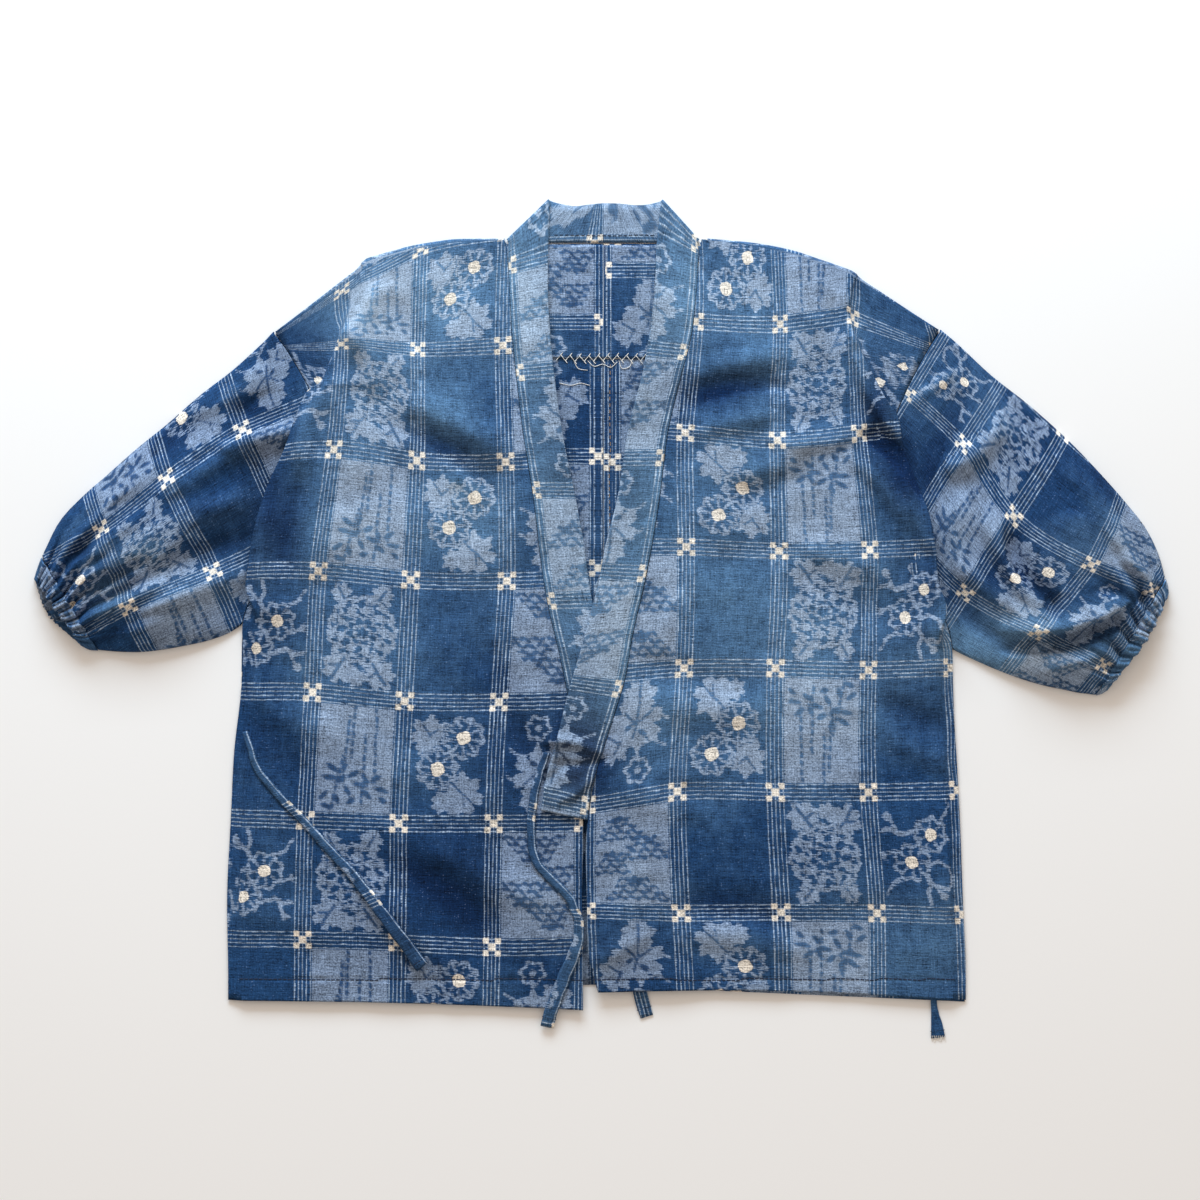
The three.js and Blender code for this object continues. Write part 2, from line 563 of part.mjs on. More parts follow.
// Highest cloth over a point of the table.
function clothTop(layers, x, y) {
  let top = 0;
  const p = at(x, y, 0);
  for (const { grid, wall, here = () => true } of layers) {
    for (let i = 0; i < grid.length - 1; i++) {
      for (let j = 0; j < grid[0].length - 1; j++) {
        if (!here(i, j)) continue;
        const [a, b, c, d] = [grid[i][j], grid[i][j + 1], grid[i + 1][j + 1], grid[i + 1][j]];
        for (const [q, r, s] of [[a, b, c], [a, c, d]]) {
          const area = (r.x - q.x) * (s.y - q.y) - (s.x - q.x) * (r.y - q.y);
          if (Math.abs(area) < 1e-6) continue;
          const u = ((p.x - q.x) * (s.y - q.y) - (s.x - q.x) * (p.y - q.y)) / area;
          const v = ((r.x - q.x) * (p.y - q.y) - (p.x - q.x) * (r.y - q.y)) / area;
          if (u < 0 || v < 0 || u + v > 1) continue;
          top = Math.max(top, q.z + u * (r.z - q.z) + v * (s.z - q.z) + wall / 2);
        }
      }
    }
  }
  return top;
}

// A tie: a flat strip along its centre line. On the jacket it lies on the cloth below it.
const TIE_COLUMNS = ['x', 'y', 'width', 'z'];
const TIE_CELLS = 2;
const TIE_STEPS = 2;
function tieGrid(rows, layers = []) {
  const centre = between(rows.map((row) => [new THREE.Vector3(row.x, row.y, row.z ?? 0),
    new THREE.Vector3(row.width, 0, 0)]), TIE_STEPS);
  return centre.map(([p, w], i) => {
    const a = centre[Math.max(0, i - 1)][0];
    const b = centre[Math.min(centre.length - 1, i + 1)][0];
    const across = new THREE.Vector2(a.y - b.y, b.x - a.x).normalize().multiplyScalar(w.x / 2);
    const spots = Array.from({ length: TIE_CELLS + 1 }, (_, j) => {
      const t = (2 * j) / TIE_CELLS - 1;
      return [p.x + across.x * t, p.y + across.y * t];
    });
    let { z } = p;
    if (layers.length) {
      const reach = [-1.6, -1, 0, 1, 1.6].flatMap((t) => [-0.5, 0, 0.5].map((s) => clothTop(layers,
        p.x + across.x * t + (b.x - a.x) * s, p.y + across.y * t + (b.y - a.y) * s)));
      z = Math.max(...reach) + 0.5 + TIE / 2;
    }
    return spots.map(([x, y]) => at(x, y, z));
  });
}

const bodyRight = bodyGrid(SIDES.right, RIGHT_FRONT, RIGHT_BACK);
const bodyLeft = bodyGrid(SIDES.left, LEFT_FRONT, LEFT_BACK);
const onFronts = [
  { ...bodyRight, wall: CLOTH },
  { ...bodyLeft, wall: CLOTH },
  { grid: collarGrid, wall: BAND },
];

const TIE_SIDE_RIGHT = table(TIE_COLUMNS, [
  [246, 731, 5], [253, 754, 6], [264, 777, 7], [284, 800, 8], [306, 822, 8], [329, 848, 9],
  [349, 869, 10], [366, 890, 11], [383, 912, 12], [402, 937, 13], [423, 966, 14],
]);
const TIE_FRONT_LEFT = table(TIE_COLUMNS, [
  [547, 752, 6], [540, 772, 7], [534, 796, 8], [531, 820, 8], [532, 846, 8], [541, 868, 8],
  [558, 885, 8], [572, 902, 9], [579, 920, 9], [579, 938, 10], [573, 956, 12], [564, 977, 13],
  [556, 997, 13], [550, 1014, 13], [547, 1027, 13],
]);
const TIE_FRONT_RIGHT = table(TIE_COLUMNS, [
  [607, 812, 13, HIDDEN_TIE_Z], [612, 860, 13, HIDDEN_TIE_Z], [624, 925, 13, HIDDEN_TIE_Z],
  [636, 975, 13, HIDDEN_TIE_Z], [640, 992, 14, HIDDEN_TIE_Z], [643, 1004, 14, 1.3],
  [647, 1017, 13, 0.8],
]);
const TIE_SIDE_LEFT = table(TIE_COLUMNS, [
  [930, 752, 9, HIDDEN_TIE_Z], [933, 820, 9, HIDDEN_TIE_Z], [935, 900, 9, HIDDEN_TIE_Z],
  [935, 975, 9, HIDDEN_TIE_Z], [935, 1003, 9, HIDDEN_TIE_Z], [936, 1012, 11, 1.4],
  [938, 1024, 14, 0.8], [938.5, 1038, 15, 0.8],
]);

const INDIGO = '#3c5f8c';
const FADED = '#7f98b5';
const PALE = '#8b9db8';
const DARK = '#2b4f7d';

const sleeveRight = sleeveGrid(SIDES.right, RIGHT_SLEEVE, RIGHT_FRONT, RIGHT_BACK);
const sleeveLeft = sleeveGrid(SIDES.left, LEFT_SLEEVE, LEFT_FRONT, LEFT_BACK);
const round = true;

const group = new THREE.Group();
group.name = 'noragi_jacket';
group.add(
  clothWall('body_right', bodyRight.grid, CLOTH, INDIGO, { here: bodyRight.here }),
  clothWall('body_left', bodyLeft.grid, CLOTH, INDIGO, { here: bodyLeft.here }),
  clothWall('sleeve_right', sleeveRight, CLOTH, INDIGO, { round }),
  clothWall('sleeve_left', sleeveLeft, CLOTH, INDIGO, { round }),
  clothWall('cuff_right', cuffGrid(SIDES.right, CUFF_RINGS.right), CUFF, DARK, { round }),
  clothWall('cuff_left', cuffGrid(SIDES.left, CUFF_RINGS.left), CUFF, DARK, { round }),
  clothWall('collar', collarGrid, BAND, FADED),
  clothWall('yoke_lining', liningGrid(), LINING, PALE),
  clothWall('tie_side_right', tieGrid(TIE_SIDE_RIGHT, onFronts), TIE, FADED),
  clothWall('tie_front_left', tieGrid(TIE_FRONT_LEFT, onFronts), TIE, FADED),
  clothWall('tie_front_right', tieGrid(TIE_FRONT_RIGHT), TIE, DARK),
  clothWall('tie_side_left', tieGrid(TIE_SIDE_LEFT), TIE, INDIGO),
);

export default group;
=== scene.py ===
"""A noragi work jacket of indigo kasuri cloth, laid out flat on a white table, seen from above."""
import math
import bpy
import numpy as np
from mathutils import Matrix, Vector


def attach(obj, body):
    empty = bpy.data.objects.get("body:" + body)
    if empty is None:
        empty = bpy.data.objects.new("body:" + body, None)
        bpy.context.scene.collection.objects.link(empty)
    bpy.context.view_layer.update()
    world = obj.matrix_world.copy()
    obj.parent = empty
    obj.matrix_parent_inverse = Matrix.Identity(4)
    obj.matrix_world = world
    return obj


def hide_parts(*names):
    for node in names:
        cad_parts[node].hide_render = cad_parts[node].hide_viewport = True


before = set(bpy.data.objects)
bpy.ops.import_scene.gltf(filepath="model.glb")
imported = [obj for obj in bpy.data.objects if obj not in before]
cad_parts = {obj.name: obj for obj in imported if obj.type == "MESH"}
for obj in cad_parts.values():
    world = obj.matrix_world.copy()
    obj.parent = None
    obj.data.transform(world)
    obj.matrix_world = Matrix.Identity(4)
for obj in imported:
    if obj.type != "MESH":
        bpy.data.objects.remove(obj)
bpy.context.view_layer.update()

# Table, camera and light
MM = 0.001
CENTRE_X, CENTRE_Y = 601.49, 618.7      # middle of the jacket, from the left and top of the cutting table
CENTRE_BACK = 603.5
NECK_BACK_Y = 243.2
FRAME_MIDDLE = 600                      # the camera stands over this point of the table, across and down
LENS, SENSOR = 85, 36
VIEW_WIDTH, VIEW_LEVEL = 1.2, 0.004     # metres of table across the picture, and the height that it holds at

scene = bpy.context.scene
scene.view_settings.view_transform = "Standard"

camera = bpy.data.objects.new("camera", bpy.data.cameras.new("camera"))
scene.collection.objects.link(camera)
camera.data.lens = LENS
camera.data.sensor_width = SENSOR
camera.data.clip_end = 20
camera.location = (FRAME_MIDDLE * MM - CENTRE_X * MM, (CENTRE_Y - FRAME_MIDDLE) * MM,
                   VIEW_WIDTH * LENS / SENSOR + VIEW_LEVEL)
scene.camera = camera


def lerp(a, b, t):
    return a + (b - a) * t


def smooth(t):
    t = np.clip(t, 0, 1)
    return t * t * (3 - 2 * t)


def table(columns, rows):
    """Rows of numbers as dictionaries; a short row leaves its last columns at None."""
    return [dict(zip(columns, list(row) + [None] * (len(columns) - len(row)))) for row in rows]


# Noise for the unevenness of worn cloth
def lattice(ix, iy, seed):
    n = (ix.astype(np.int64) * 374761393 + iy.astype(np.int64) * 668265263 + seed * 982451653) & 0xFFFFFFFF
    n = ((n ^ (n >> 13)) * 1274126177) & 0xFFFFFFFF
    return ((n ^ (n >> 16)) & 0xFFFFFF) / 0xFFFFFF * 2 - 1


def noise(x, y, size, seed=0):
    """Smooth noise from -1 to 1 with bumps of about that size."""
    x, y = np.asarray(x) / size, np.asarray(y) / size
    ix, iy = np.floor(x), np.floor(y)
    fx, fy = smooth(x - ix), smooth(y - iy)
    a, b = lattice(ix, iy, seed), lattice(ix + 1, iy, seed)
    c, d = lattice(ix, iy + 1, seed), lattice(ix + 1, iy + 1, seed)
    return lerp(lerp(a, b, fx), lerp(c, d, fx), fy)


# Thicknesses and heights of the layers, mm
CLOTH, LINING, BAND, CUFF, TIE = 1.2, 0.9, 2.2, 1.4, 1.4
BACK_Z, LINING_Z, HIDDEN_TIE_Z, FRONT_Z = CLOTH / 2, 2.1, 2.3, 4.0
BAND_LOW_Z, BAND_HIGH_Z = BAND / 2, 4.2
SLEEVE_SEAM_Z, SIDE_SEAM_Z = 3.0, 2.1
SEAM_GAP, ARM_GAP, SHOULDER_GAP = 0.5, 0.8, 2.4
ROLL, ROLL_RISE, ROLL_HOLD = 5.6, 60, 12
LIFT_HOLD, LIFT_FALL = 50, 80
DRAWN_BELOW, BACK_DRAWN = 1.8, 6


def at(x, y, z):
    x, y, z = np.broadcast_arrays(np.asarray(x, float), np.asarray(y, float), np.asarray(z, float))
    return np.stack([x - CENTRE_X, CENTRE_Y - y, z], -1)


def between(rows, steps):
    """Rows of points with more rows between them, on smooth curves through all of them."""
    rows = np.array(rows)
    counts = [steps] * (len(rows) - 1) if np.isscalar(steps) else steps
    gap = np.maximum(np.linalg.norm(np.diff(rows, axis=0)[..., :2], axis=-1).mean(1), 1e-3)
    slope = np.diff(rows, axis=0) / gap[:, None, None]
    tangent = np.empty_like(rows)
    tangent[0], tangent[-1] = slope[0], slope[-1]
    w = (gap[1:] / (gap[1:] + gap[:-1]))[:, None, None]
    tangent[1:-1] = slope[:-1] * w + slope[1:] * (1 - w)
    dense = []
    for i, count in enumerate(counts):
        for k in range(count):
            t = k / count
            here, leaving = 2 * t ** 3 - 3 * t ** 2 + 1, t ** 3 - 2 * t ** 2 + t
            there, arriving = 3 * t ** 2 - 2 * t ** 3, t ** 3 - t ** 2
            dense.append(here * rows[i] + leaving * gap[i] * tangent[i]
                         + there * rows[i + 1] + arriving * gap[i] * tangent[i + 1])
    dense.append(rows[-1])
    return np.array(dense)


def steps_for(rows, length):
    rows = np.array(rows)
    gap = np.linalg.norm(np.diff(rows, axis=0)[..., :3], axis=-1).max(1)
    return [max(1, int(round(g / length))) for g in gap]


# Creases laid into the fronts and sleeves
# Each runs from one point of the cutting table to another, bowed sideways by `bend`. `width` is how wide
# it is, `side` squeezes one flank so that it is steeper, and `height` is above (or below) the cloth.
CREASE_COLUMNS = ["x0", "y0", "x1", "y1", "bend", "width", "side", "height"]
FRONT_CREASES = table(CREASE_COLUMNS, [
    [548, 742, 598, 752, -4, 6, 0.3, 1.6], [556, 764, 602, 760, 3, 5, 0.2, -1.5],
    [562, 800, 592, 776, 3, 5, 0.2, 1.3], [545, 782, 566, 760, 2, 5, 0.2, -1.1],
    [395, 425, 492, 486, -6, 17, 0.3, -2.6], [410, 402, 505, 452, 0, 20, 0, 1.9],
    [330, 385, 300, 470, 10, 16, 0.4, 2.6], [352, 330, 372, 395, -6, 14, 0.2, 1.8],
    [378, 290, 352, 352, 4, 15, 0.3, 2.4], [392, 300, 420, 345, 0, 16, 0, -1.4],
    [318, 360, 345, 330, 0, 10, 0, 1.2], [270, 505, 262, 590, 3, 15, 0.3, 2.0],
    [300, 480, 285, 570, 4, 18, 0, -1.2], [330, 500, 420, 470, 6, 22, 0, -0.9],
    [395, 862, 492, 938, -4, 24, 0.2, -2.4], [380, 900, 450, 968, 0, 18, 0, 1.7],
    [430, 845, 540, 905, 0, 22, 0, 1.5], [250, 690, 330, 735, 4, 18, 0, 1.2],
    [248, 720, 310, 780, 0, 20, 0, -1.0], [236, 905, 330, 938, -4, 20, 0, 0.9],
    [520, 640, 556, 742, 5, 14, 0, 1.1], [500, 660, 535, 770, 5, 16, 0, -1.1],
    [540, 560, 470, 600, 0, 18, 0, -0.8], [470, 720, 505, 820, 0, 20, 0, 0.7],
    [692, 402, 778, 386, -5, 15, 0.4, -2.8], [700, 372, 790, 352, 0, 18, 0, 1.6],
    [700, 428, 770, 414, 0, 14, 0, 1.8], [742, 476, 812, 440, 6, 16, 0, 1.5],
    [735, 500, 800, 478, 0, 16, 0, -1.0], [778, 442, 868, 428, 8, 14, 0.3, 1.6],
    [846, 300, 852, 345, -2, 10, 0.3, 2.4], [852, 345, 897, 440, 8, 11, 0.4, 3.0],
    [868, 438, 918, 494, -7, 11, 0.35, -4.6], [856, 462, 905, 524, -4, 13, 0.2, 2.2],
    [900, 450, 935, 555, 7, 12, 0.2, 2.4], [936, 560, 948, 645, 3, 12, 0.2, 2.0],
    [905, 560, 918, 640, 3, 16, 0, -1.2], [700, 570, 780, 545, 0, 22, 0, -1.0],
    [800, 580, 872, 612, 0, 20, 0, -1.2], [808, 548, 880, 572, 0, 16, 0, 1.3],
    [640, 662, 760, 678, 8, 22, 0, -1.5], [650, 702, 770, 706, 5, 22, 0, 1.1],
    [884, 700, 955, 730, 4, 16, 0, -1.5], [880, 730, 950, 765, 4, 16, 0, 1.3],
    [690, 905, 790, 926, -6, 19, 0.2, -2.0], [680, 935, 800, 948, -4, 18, 0, 1.5],
    [800, 930, 900, 905, 0, 24, 0, -1.0], [640, 870, 600, 960, -5, 18, 0, 1.0],
    [612, 790, 700, 812, 0, 16, 0, 0.9], [598, 960, 650, 930, 3, 12, 0, 1.3],
    [920, 800, 955, 900, 5, 18, 0, 1.0], [880, 840, 905, 930, 0, 22, 0, -0.9],
    [660, 640, 700, 560, 0, 18, 0, 0.9], [820, 380, 840, 300, 0, 14, 0, -0.9],
    [790, 262, 812, 330, 0, 16, 0, 1.0], [715, 262, 735, 345, 0, 18, 0, -0.8],
])
SLEEVE_CREASES = table(CREASE_COLUMNS, [
    [300, 428, 175, 486, 10, 12, 0.35, 5.2], [222, 452, 186, 478, 3, 9, 0.2, -4.2],
    [262, 372, 215, 418, 4, 14, 0.2, 3.2], [262, 402, 150, 452, 6, 14, 0.2, -3.4],
    [240, 500, 118, 560, 6, 16, 0.2, 3.6], [236, 540, 112, 600, 4, 15, 0.2, -3.2],
    [244, 575, 140, 622, 4, 14, 0.2, 3.4], [150, 470, 92, 535, 4, 11, 0.2, 3.4],
    [128, 500, 78, 556, 4, 8, 0.2, -3.0], [140, 520, 84, 574, 3, 8, 0.2, 3.0],
    [150, 560, 88, 600, 3, 8, 0.2, -3.0], [160, 585, 92, 620, 2, 8, 0.2, 3.0],
    [110, 492, 62, 545, 3, 7, 0.2, 2.6], [170, 610, 100, 640, 2, 8, 0.2, -2.4],
    [955, 372, 905, 402, 0, 8, 0.2, 2.4], [1000, 420, 944, 470, -6, 14, 0.3, 4.6],
    [960, 400, 930, 480, 5, 12, 0.2, -3.6], [990, 372, 1040, 432, 0, 14, 0.2, -2.4],
    [1005, 540, 1045, 600, 8, 10, 0.4, -5.2], [1045, 600, 1055, 622, 0, 9, 0.2, -4.0],
    [985, 520, 1028, 600, 6, 13, 0.3, 4.2], [1070, 520, 1078, 570, 0, 17, 0.2, 3.8],
    [1015, 632, 1118, 606, 8, 9, 0.6, 9.0], [1012, 650, 1110, 628, 6, 8, 0.3, -8.0],
    [960, 500, 965, 580, 8, 15, 0.2, 2.8], [1090, 470, 1140, 545, -5, 12, 0.2, -3.0],
    [1060, 470, 1118, 548, -5, 13, 0.2, 3.2], [950, 600, 1000, 640, 3, 12, 0.2, -2.6],
    [960, 570, 1030, 620, 3, 12, 0.2, 2.6], [1120, 560, 1160, 585, 0, 8, 0.2, 2.4],
    [1095, 590, 1150, 600, 2, 8, 0.2, -2.6], [1040, 672, 1100, 655, 0, 8, 0.2, 3.0],
])

CREASE_RISE = 2.9                   # every height in the tables of creases is multiplied by this
SPARE, SPARE_AT_HEM = 5.0, 1.5      # how far the fronts stand off, so that a crease has room to dip
HEM_FROM, HEM_DOWN = 890, 95        # over the hem the fronts settle back on what lies under them
HEM_LINE, HEM_PUCKER = 979, 1.3     # where the hems are stitched, and how far the stitches draw them in


def creased(creases, x, y):
    """Height that a table of creases gives over points of the cutting table."""
    z = np.zeros(np.shape(x))
    for c in creases:
        dx, dy = c["x1"] - c["x0"], c["y1"] - c["y0"]
        length = math.hypot(dx, dy)
        dx, dy = dx / length, dy / length
        along = ((x - c["x0"]) * dx + (y - c["y0"]) * dy) / length
        across = (y - c["y0"]) * dx - (x - c["x0"]) * dy - c["bend"] * 4 * along * (1 - along)
        width = c["width"] * np.where(across > 0, 1 - c["side"], 1 + c["side"])
        taper = smooth((along + 0.25) / 0.45) * smooth((1.25 - along) / 0.45)
        z += c["height"] * CREASE_RISE * taper * np.exp(-(across / width) ** 2 * 1.4)
    return z


def front_relief(x, y):
    """How much the fronts and the collar stand above their plain shape; nothing at the neck."""
    z = lerp(SPARE, SPARE_AT_HEM, smooth((y - HEM_FROM) / HEM_DOWN)) + creased(FRONT_CREASES, x, y)
    z += 1.7 * noise(x, y, 85, 3) + 1.2 * noise(x, y * 1.3, 40, 5) + 0.45 * noise(x, y * 1.4, 19, 7)
    z -= HEM_PUCKER * np.exp(-((y - HEM_LINE) / 1.8) ** 2) * (1 + 0.7 * noise(x, 0 * x, 7, 9))
    z = 0.5 * (z + np.sqrt(z * z + 4)) - 0.3      # levels out softly instead of going through the back
    near_neck = smooth(np.maximum((y - 250) / 70, np.maximum((x - 710) / 60, (495 - x) / 60)))
    return z * near_neck


def table_xy(grid):
    return grid[..., 0] + CENTRE_X, CENTRE_Y - grid[..., 1]


# The collar band
BAND_COLUMNS = ["free_x", "free_y", "seam_x", "seam_y", "z"]
LEFT_BAND = table(BAND_COLUMNS, [
    [541, 810, 587.5, 819.5, 7.3], [547, 774, 592, 785, 7.2], [556, 742, 603, 750, 7.1],
    [565, 705, 614, 714, 7], [574, 672, 625, 677, 7], [583, 642, 632.5, 634, 7], [590, 615, 638, 610, 7],
    [598, 585, 643.5, 587, 7], [606, 543, 652, 543, 6.8], [617, 500, 659, 500, 6], [628, 430, 668, 430, 5],
    [643, 370, 682, 372, 4.6], [650, 330, 691, 336, 4.4], [655, 285, 696, 292, 4.3],
    [656.5, 245, 698, 260, BAND_HIGH_Z], [661, 201, 697.5, 241, BAND_HIGH_Z]])
BACK_BAND = table(BAND_COLUMNS, [
    [661, 201, 697.5, 241, BAND_LOW_Z], [650, 204, 682, 242.2, BAND_LOW_Z],
    [637, 205, 662, 242.4, BAND_LOW_Z], [621, 203.5, 634, 242.4, BAND_LOW_Z],
    [604, 203, 604, 242.4, BAND_LOW_Z], [588, 204.5, 573, 242.4, BAND_LOW_Z],
    [575, 206, 546, 242.4, BAND_LOW_Z], [562, 204, 526, 242.2, BAND_LOW_Z],
    [550, 201, 508.5, 241, BAND_LOW_Z]])
RIGHT_BAND = table(BAND_COLUMNS, [
    [550, 201, 508.5, 241, BAND_HIGH_Z], [548.5, 245, 508.5, 260, BAND_HIGH_Z],
    [548, 285, 510, 292, BAND_HIGH_Z], [550, 330, 512.5, 336, BAND_HIGH_Z],
    [554, 372, 516.5, 375, BAND_HIGH_Z], [562, 430, 523, 430, BAND_HIGH_Z],
    [576, 500, 534, 500, BAND_HIGH_Z], [584, 545, 539.5, 548, BAND_HIGH_Z],
    [590, 588, 545.5, 590, BAND_HIGH_Z], [596, 620, 551.5, 620, BAND_HIGH_Z],
    [602, 655, 560, 655, BAND_HIGH_Z], [609, 695, 568, 695, BAND_HIGH_Z], [618, 745, 577, 745, BAND_HIGH_Z],
    [627, 790, 584.3, 790, BAND_HIGH_Z], [628.5, 806, 585.3, 806, BAND_HIGH_Z]])
BAND_CELLS, BAND_TURN_STEPS = 22, 8
BAND_STEP, SLEEVE_STEP, TIE_STEP = 2.4, 2.6, 4.0    # spacing of the rows along the collar, sleeves and ties


def band_section(row):
    t = np.linspace(0, 1, BAND_CELLS + 1)
    return at(lerp(row["free_x"], row["seam_x"], t), lerp(row["free_y"], row["seam_y"], t), row["z"])


def crease_turn(row, outward):
    """The fold at a corner of the collar, where the band turns from the back over to the front."""
    radius = (BAND_HIGH_Z - BAND_LOW_Z) / 2
    flat = band_section({**row, "z": 0})
    turns = []
    for k in range(1, BAND_TURN_STEPS):
        a = math.pi * k / BAND_TURN_STEPS
        turns.append(flat + np.array([outward[0] * radius * math.sin(a), outward[1] * radius * math.sin(a),
                                      radius * math.cos(a) + (BAND_HIGH_Z + BAND_LOW_Z) / 2]))
    return turns


def dense_band(rows):
    sections = [band_section(r) for r in rows]
    return between(sections, steps_for(sections, BAND_STEP))


left_band, back_band, right_band = dense_band(LEFT_BAND), dense_band(BACK_BAND), dense_band(RIGHT_BAND)
for band in (left_band, right_band):
    band[..., 2] += front_relief(*table_xy(band))
left_turn = crease_turn(BACK_BAND[0], (0.74, 0.67))
right_turn = crease_turn(RIGHT_BAND[0], (-0.69, 0.72))[::-1]
collar_grid = np.concatenate([left_band, left_turn, back_band, right_turn, right_band])


def seam_at(band, y):
    """Where the seam of a band crosses that height of the table."""
    x, height = band[:, -1, 0] + CENTRE_X, CENTRE_Y - band[:, -1, 1]
    order = np.argsort(height)
    return float(np.interp(y, height[order], x[order]))


# Fronts, rolled over the roots of the sleeves
SIDES = {
    "right": dict(sign=-1, top=(276, 333), under=(243, 622), drawn=70, band=right_band, neck=(504.5, 240.5),
                  centre=CENTRE_BACK - 0.2),
    "left": dict(sign=1, top=(938, 331), under=(952, 648), drawn=62, band=left_band, neck=(701.5, 240),
                 centre=CENTRE_BACK + 0.2),
}


def drawn_in(share):
    bow = max(0.0, math.sin(math.pi * share))
    return bow if share < 0.5 else bow ** DRAWN_BELOW


def sleeve_seam(side, share, drawn=None):
    drawn = side["drawn"] if drawn is None else drawn
    return np.array([lerp(side["top"][0], side["under"][0], share) - side["sign"] * drawn * drawn_in(share),
                     lerp(side["top"][1], side["under"][1], share)])


o = None        # an empty place in a row
FRONT_COLUMNS = ["inner_x", "inner_y", "share", "end_x", "end_y", "crest_x", "crest_y",
                 "turn", "tuck", "out", "lift", "sag", "rise"]
RIGHT_FRONT = table(FRONT_COLUMNS, [
    [583, 1010, o, 228, 1000, o, o, 0, 2, 6, 4.2, -2],
    [583, 980, o, 228, 975, o, o, 0, 2, 6, 4.2, -1],
    [582, 900, o, 227, 895, o, o, 0, 2, 6, 4.2, 0],
    [583, 822, o, 231, 812, o, o, 0, 2, 6, 4.2, 0],
    [o, 762, o, 234, 752, o, o, 0, 2, 6, 4.2, 0],
    [o, 695, o, 241, 690, o, o, 0, 2, 6, 4.2, 0],
    [o, 652, o, 243, 652, o, o, 0, 2, 6, 4.2, 0, 2],
    [o, 618, 1, o, o, o, o, 0, 2, 6, 4.2, 0, 5],
    [o, 606, 0.95, o, o, o, o, 120, 2, 6, 4.2, 0],
    [o, 596, 0.9, o, o, o, o, 180, 13, 8, 4.2, 0],
    [o, 574, 0.82, o, o, o, o, 180, 29, 8, 4.2, 0],
    [o, 542, 0.7, o, o, o, o, 180, 52, 8, 4.2, 0],
    [o, 500, 0.55, o, o, o, o, 180, 65, 8, 4.2, 0],
    [o, 455, 0.4, o, o, o, o, 180, 49, 8, 4.2, 0],
    [o, 424, 0.27, o, o, o, o, 180, 26, 8, 4.2, 0],
    [o, 402, 0.2, o, o, o, o, 180, 7, 8, 4.2, 0],
    [o, 384, 0.15, o, o, 323, 384, 150, 2, o, 4.2, 0],
    [o, 365, 0.1, o, o, 329, 368, 110, 1.5, o, 4.2, 0],
    [o, 340, 0.055, o, o, 336, 350, 75, 1.5, o, 4.2, 0],
    [o, 305, 0.03, o, o, 345, 325, 50, 1.5, o, 4.2, 0],
    [o, 272, 0.012, o, o, 356, 294, 25, 1.5, o, 4.2, 0],
    [504.5, 240.5, 0, o, o, 364, 264, 0, 1.5, o, 4.2, -6],
])
LEFT_FRONT = table(FRONT_COLUMNS, [
    [598, 992, o, 966, 1000, o, o, 0, 2, 6, 6.6, -5],
    [590, 962, o, 966, 968, o, o, 0, 2, 6, 6.6, -3],
    [587, 900, o, 963, 900, o, o, 0, 2, 6, 6.6, 0],
    [587.4, 824, o, 960, 820, o, o, 0, 2, 6, 6.6, 0],
    [o, 765, o, 957, 762, o, o, 0, 2, 6, 6.6, 0],
    [o, 710, o, 954, 710, o, o, 0, 2, 6, 6.6, 0],
    [o, 677, o, 953, 680, o, o, 0, 2, 6, 6.6, 0, 2],
    [o, 648, 1, o, o, o, o, 0, 2, 6, 6.6, 0, 5],
    [o, 630, 0.94, o, o, o, o, 120, 2, 6, 6.6, 0],
    [o, 610, 0.88, o, o, o, o, 180, 11, 8, 6.6, 0],
    [o, 586, 0.8, o, o, o, o, 180, 18, 8, 6.4, 0],
    [o, 547, 0.68, o, o, o, o, 180, 38, 8, 6.2, 0],
    [o, 503, 0.55, o, o, o, o, 180, 46, 8, 5.6, 0],
    [o, 474, 0.45, o, o, o, o, 180, 35, 8, 5.2, 0],
    [o, 445, 0.36, o, o, o, o, 180, 20, 8, 4.8, 0],
    [o, 418, 0.27, o, o, o, o, 180, 7, 8, 4.6, 0],
    [o, 393, 0.23, o, o, 886, 405, 150, 2, o, 4.4, 0],
    [o, 366, 0.18, o, o, 876, 385, 110, 1.5, o, 4.4, 0],
    [o, 332, 0.12, o, o, 862, 357, 75, 1.5, o, 4.3, 0],
    [o, 300, 0.07, o, o, 852, 330, 50, 1.5, o, 4.3, 0],
    [o, 270, 0.03, o, o, 849, 300, 25, 1.5, o, 4.2, 0],
    [701.5, 240, 0, o, o, 855, 276, 0, 1.5, o, 4.2, -6],
])
PLAIN_CELLS, RISE_CELLS, HOLD_CELLS, TURN_CELLS, TUCK_CELLS, OUT_CELLS = 128, 28, 20, 6, 6, 8
TOP_COLUMNS = PLAIN_CELLS + RISE_CELLS + HOLD_CELLS + 1     # columns up to the onset of the roll


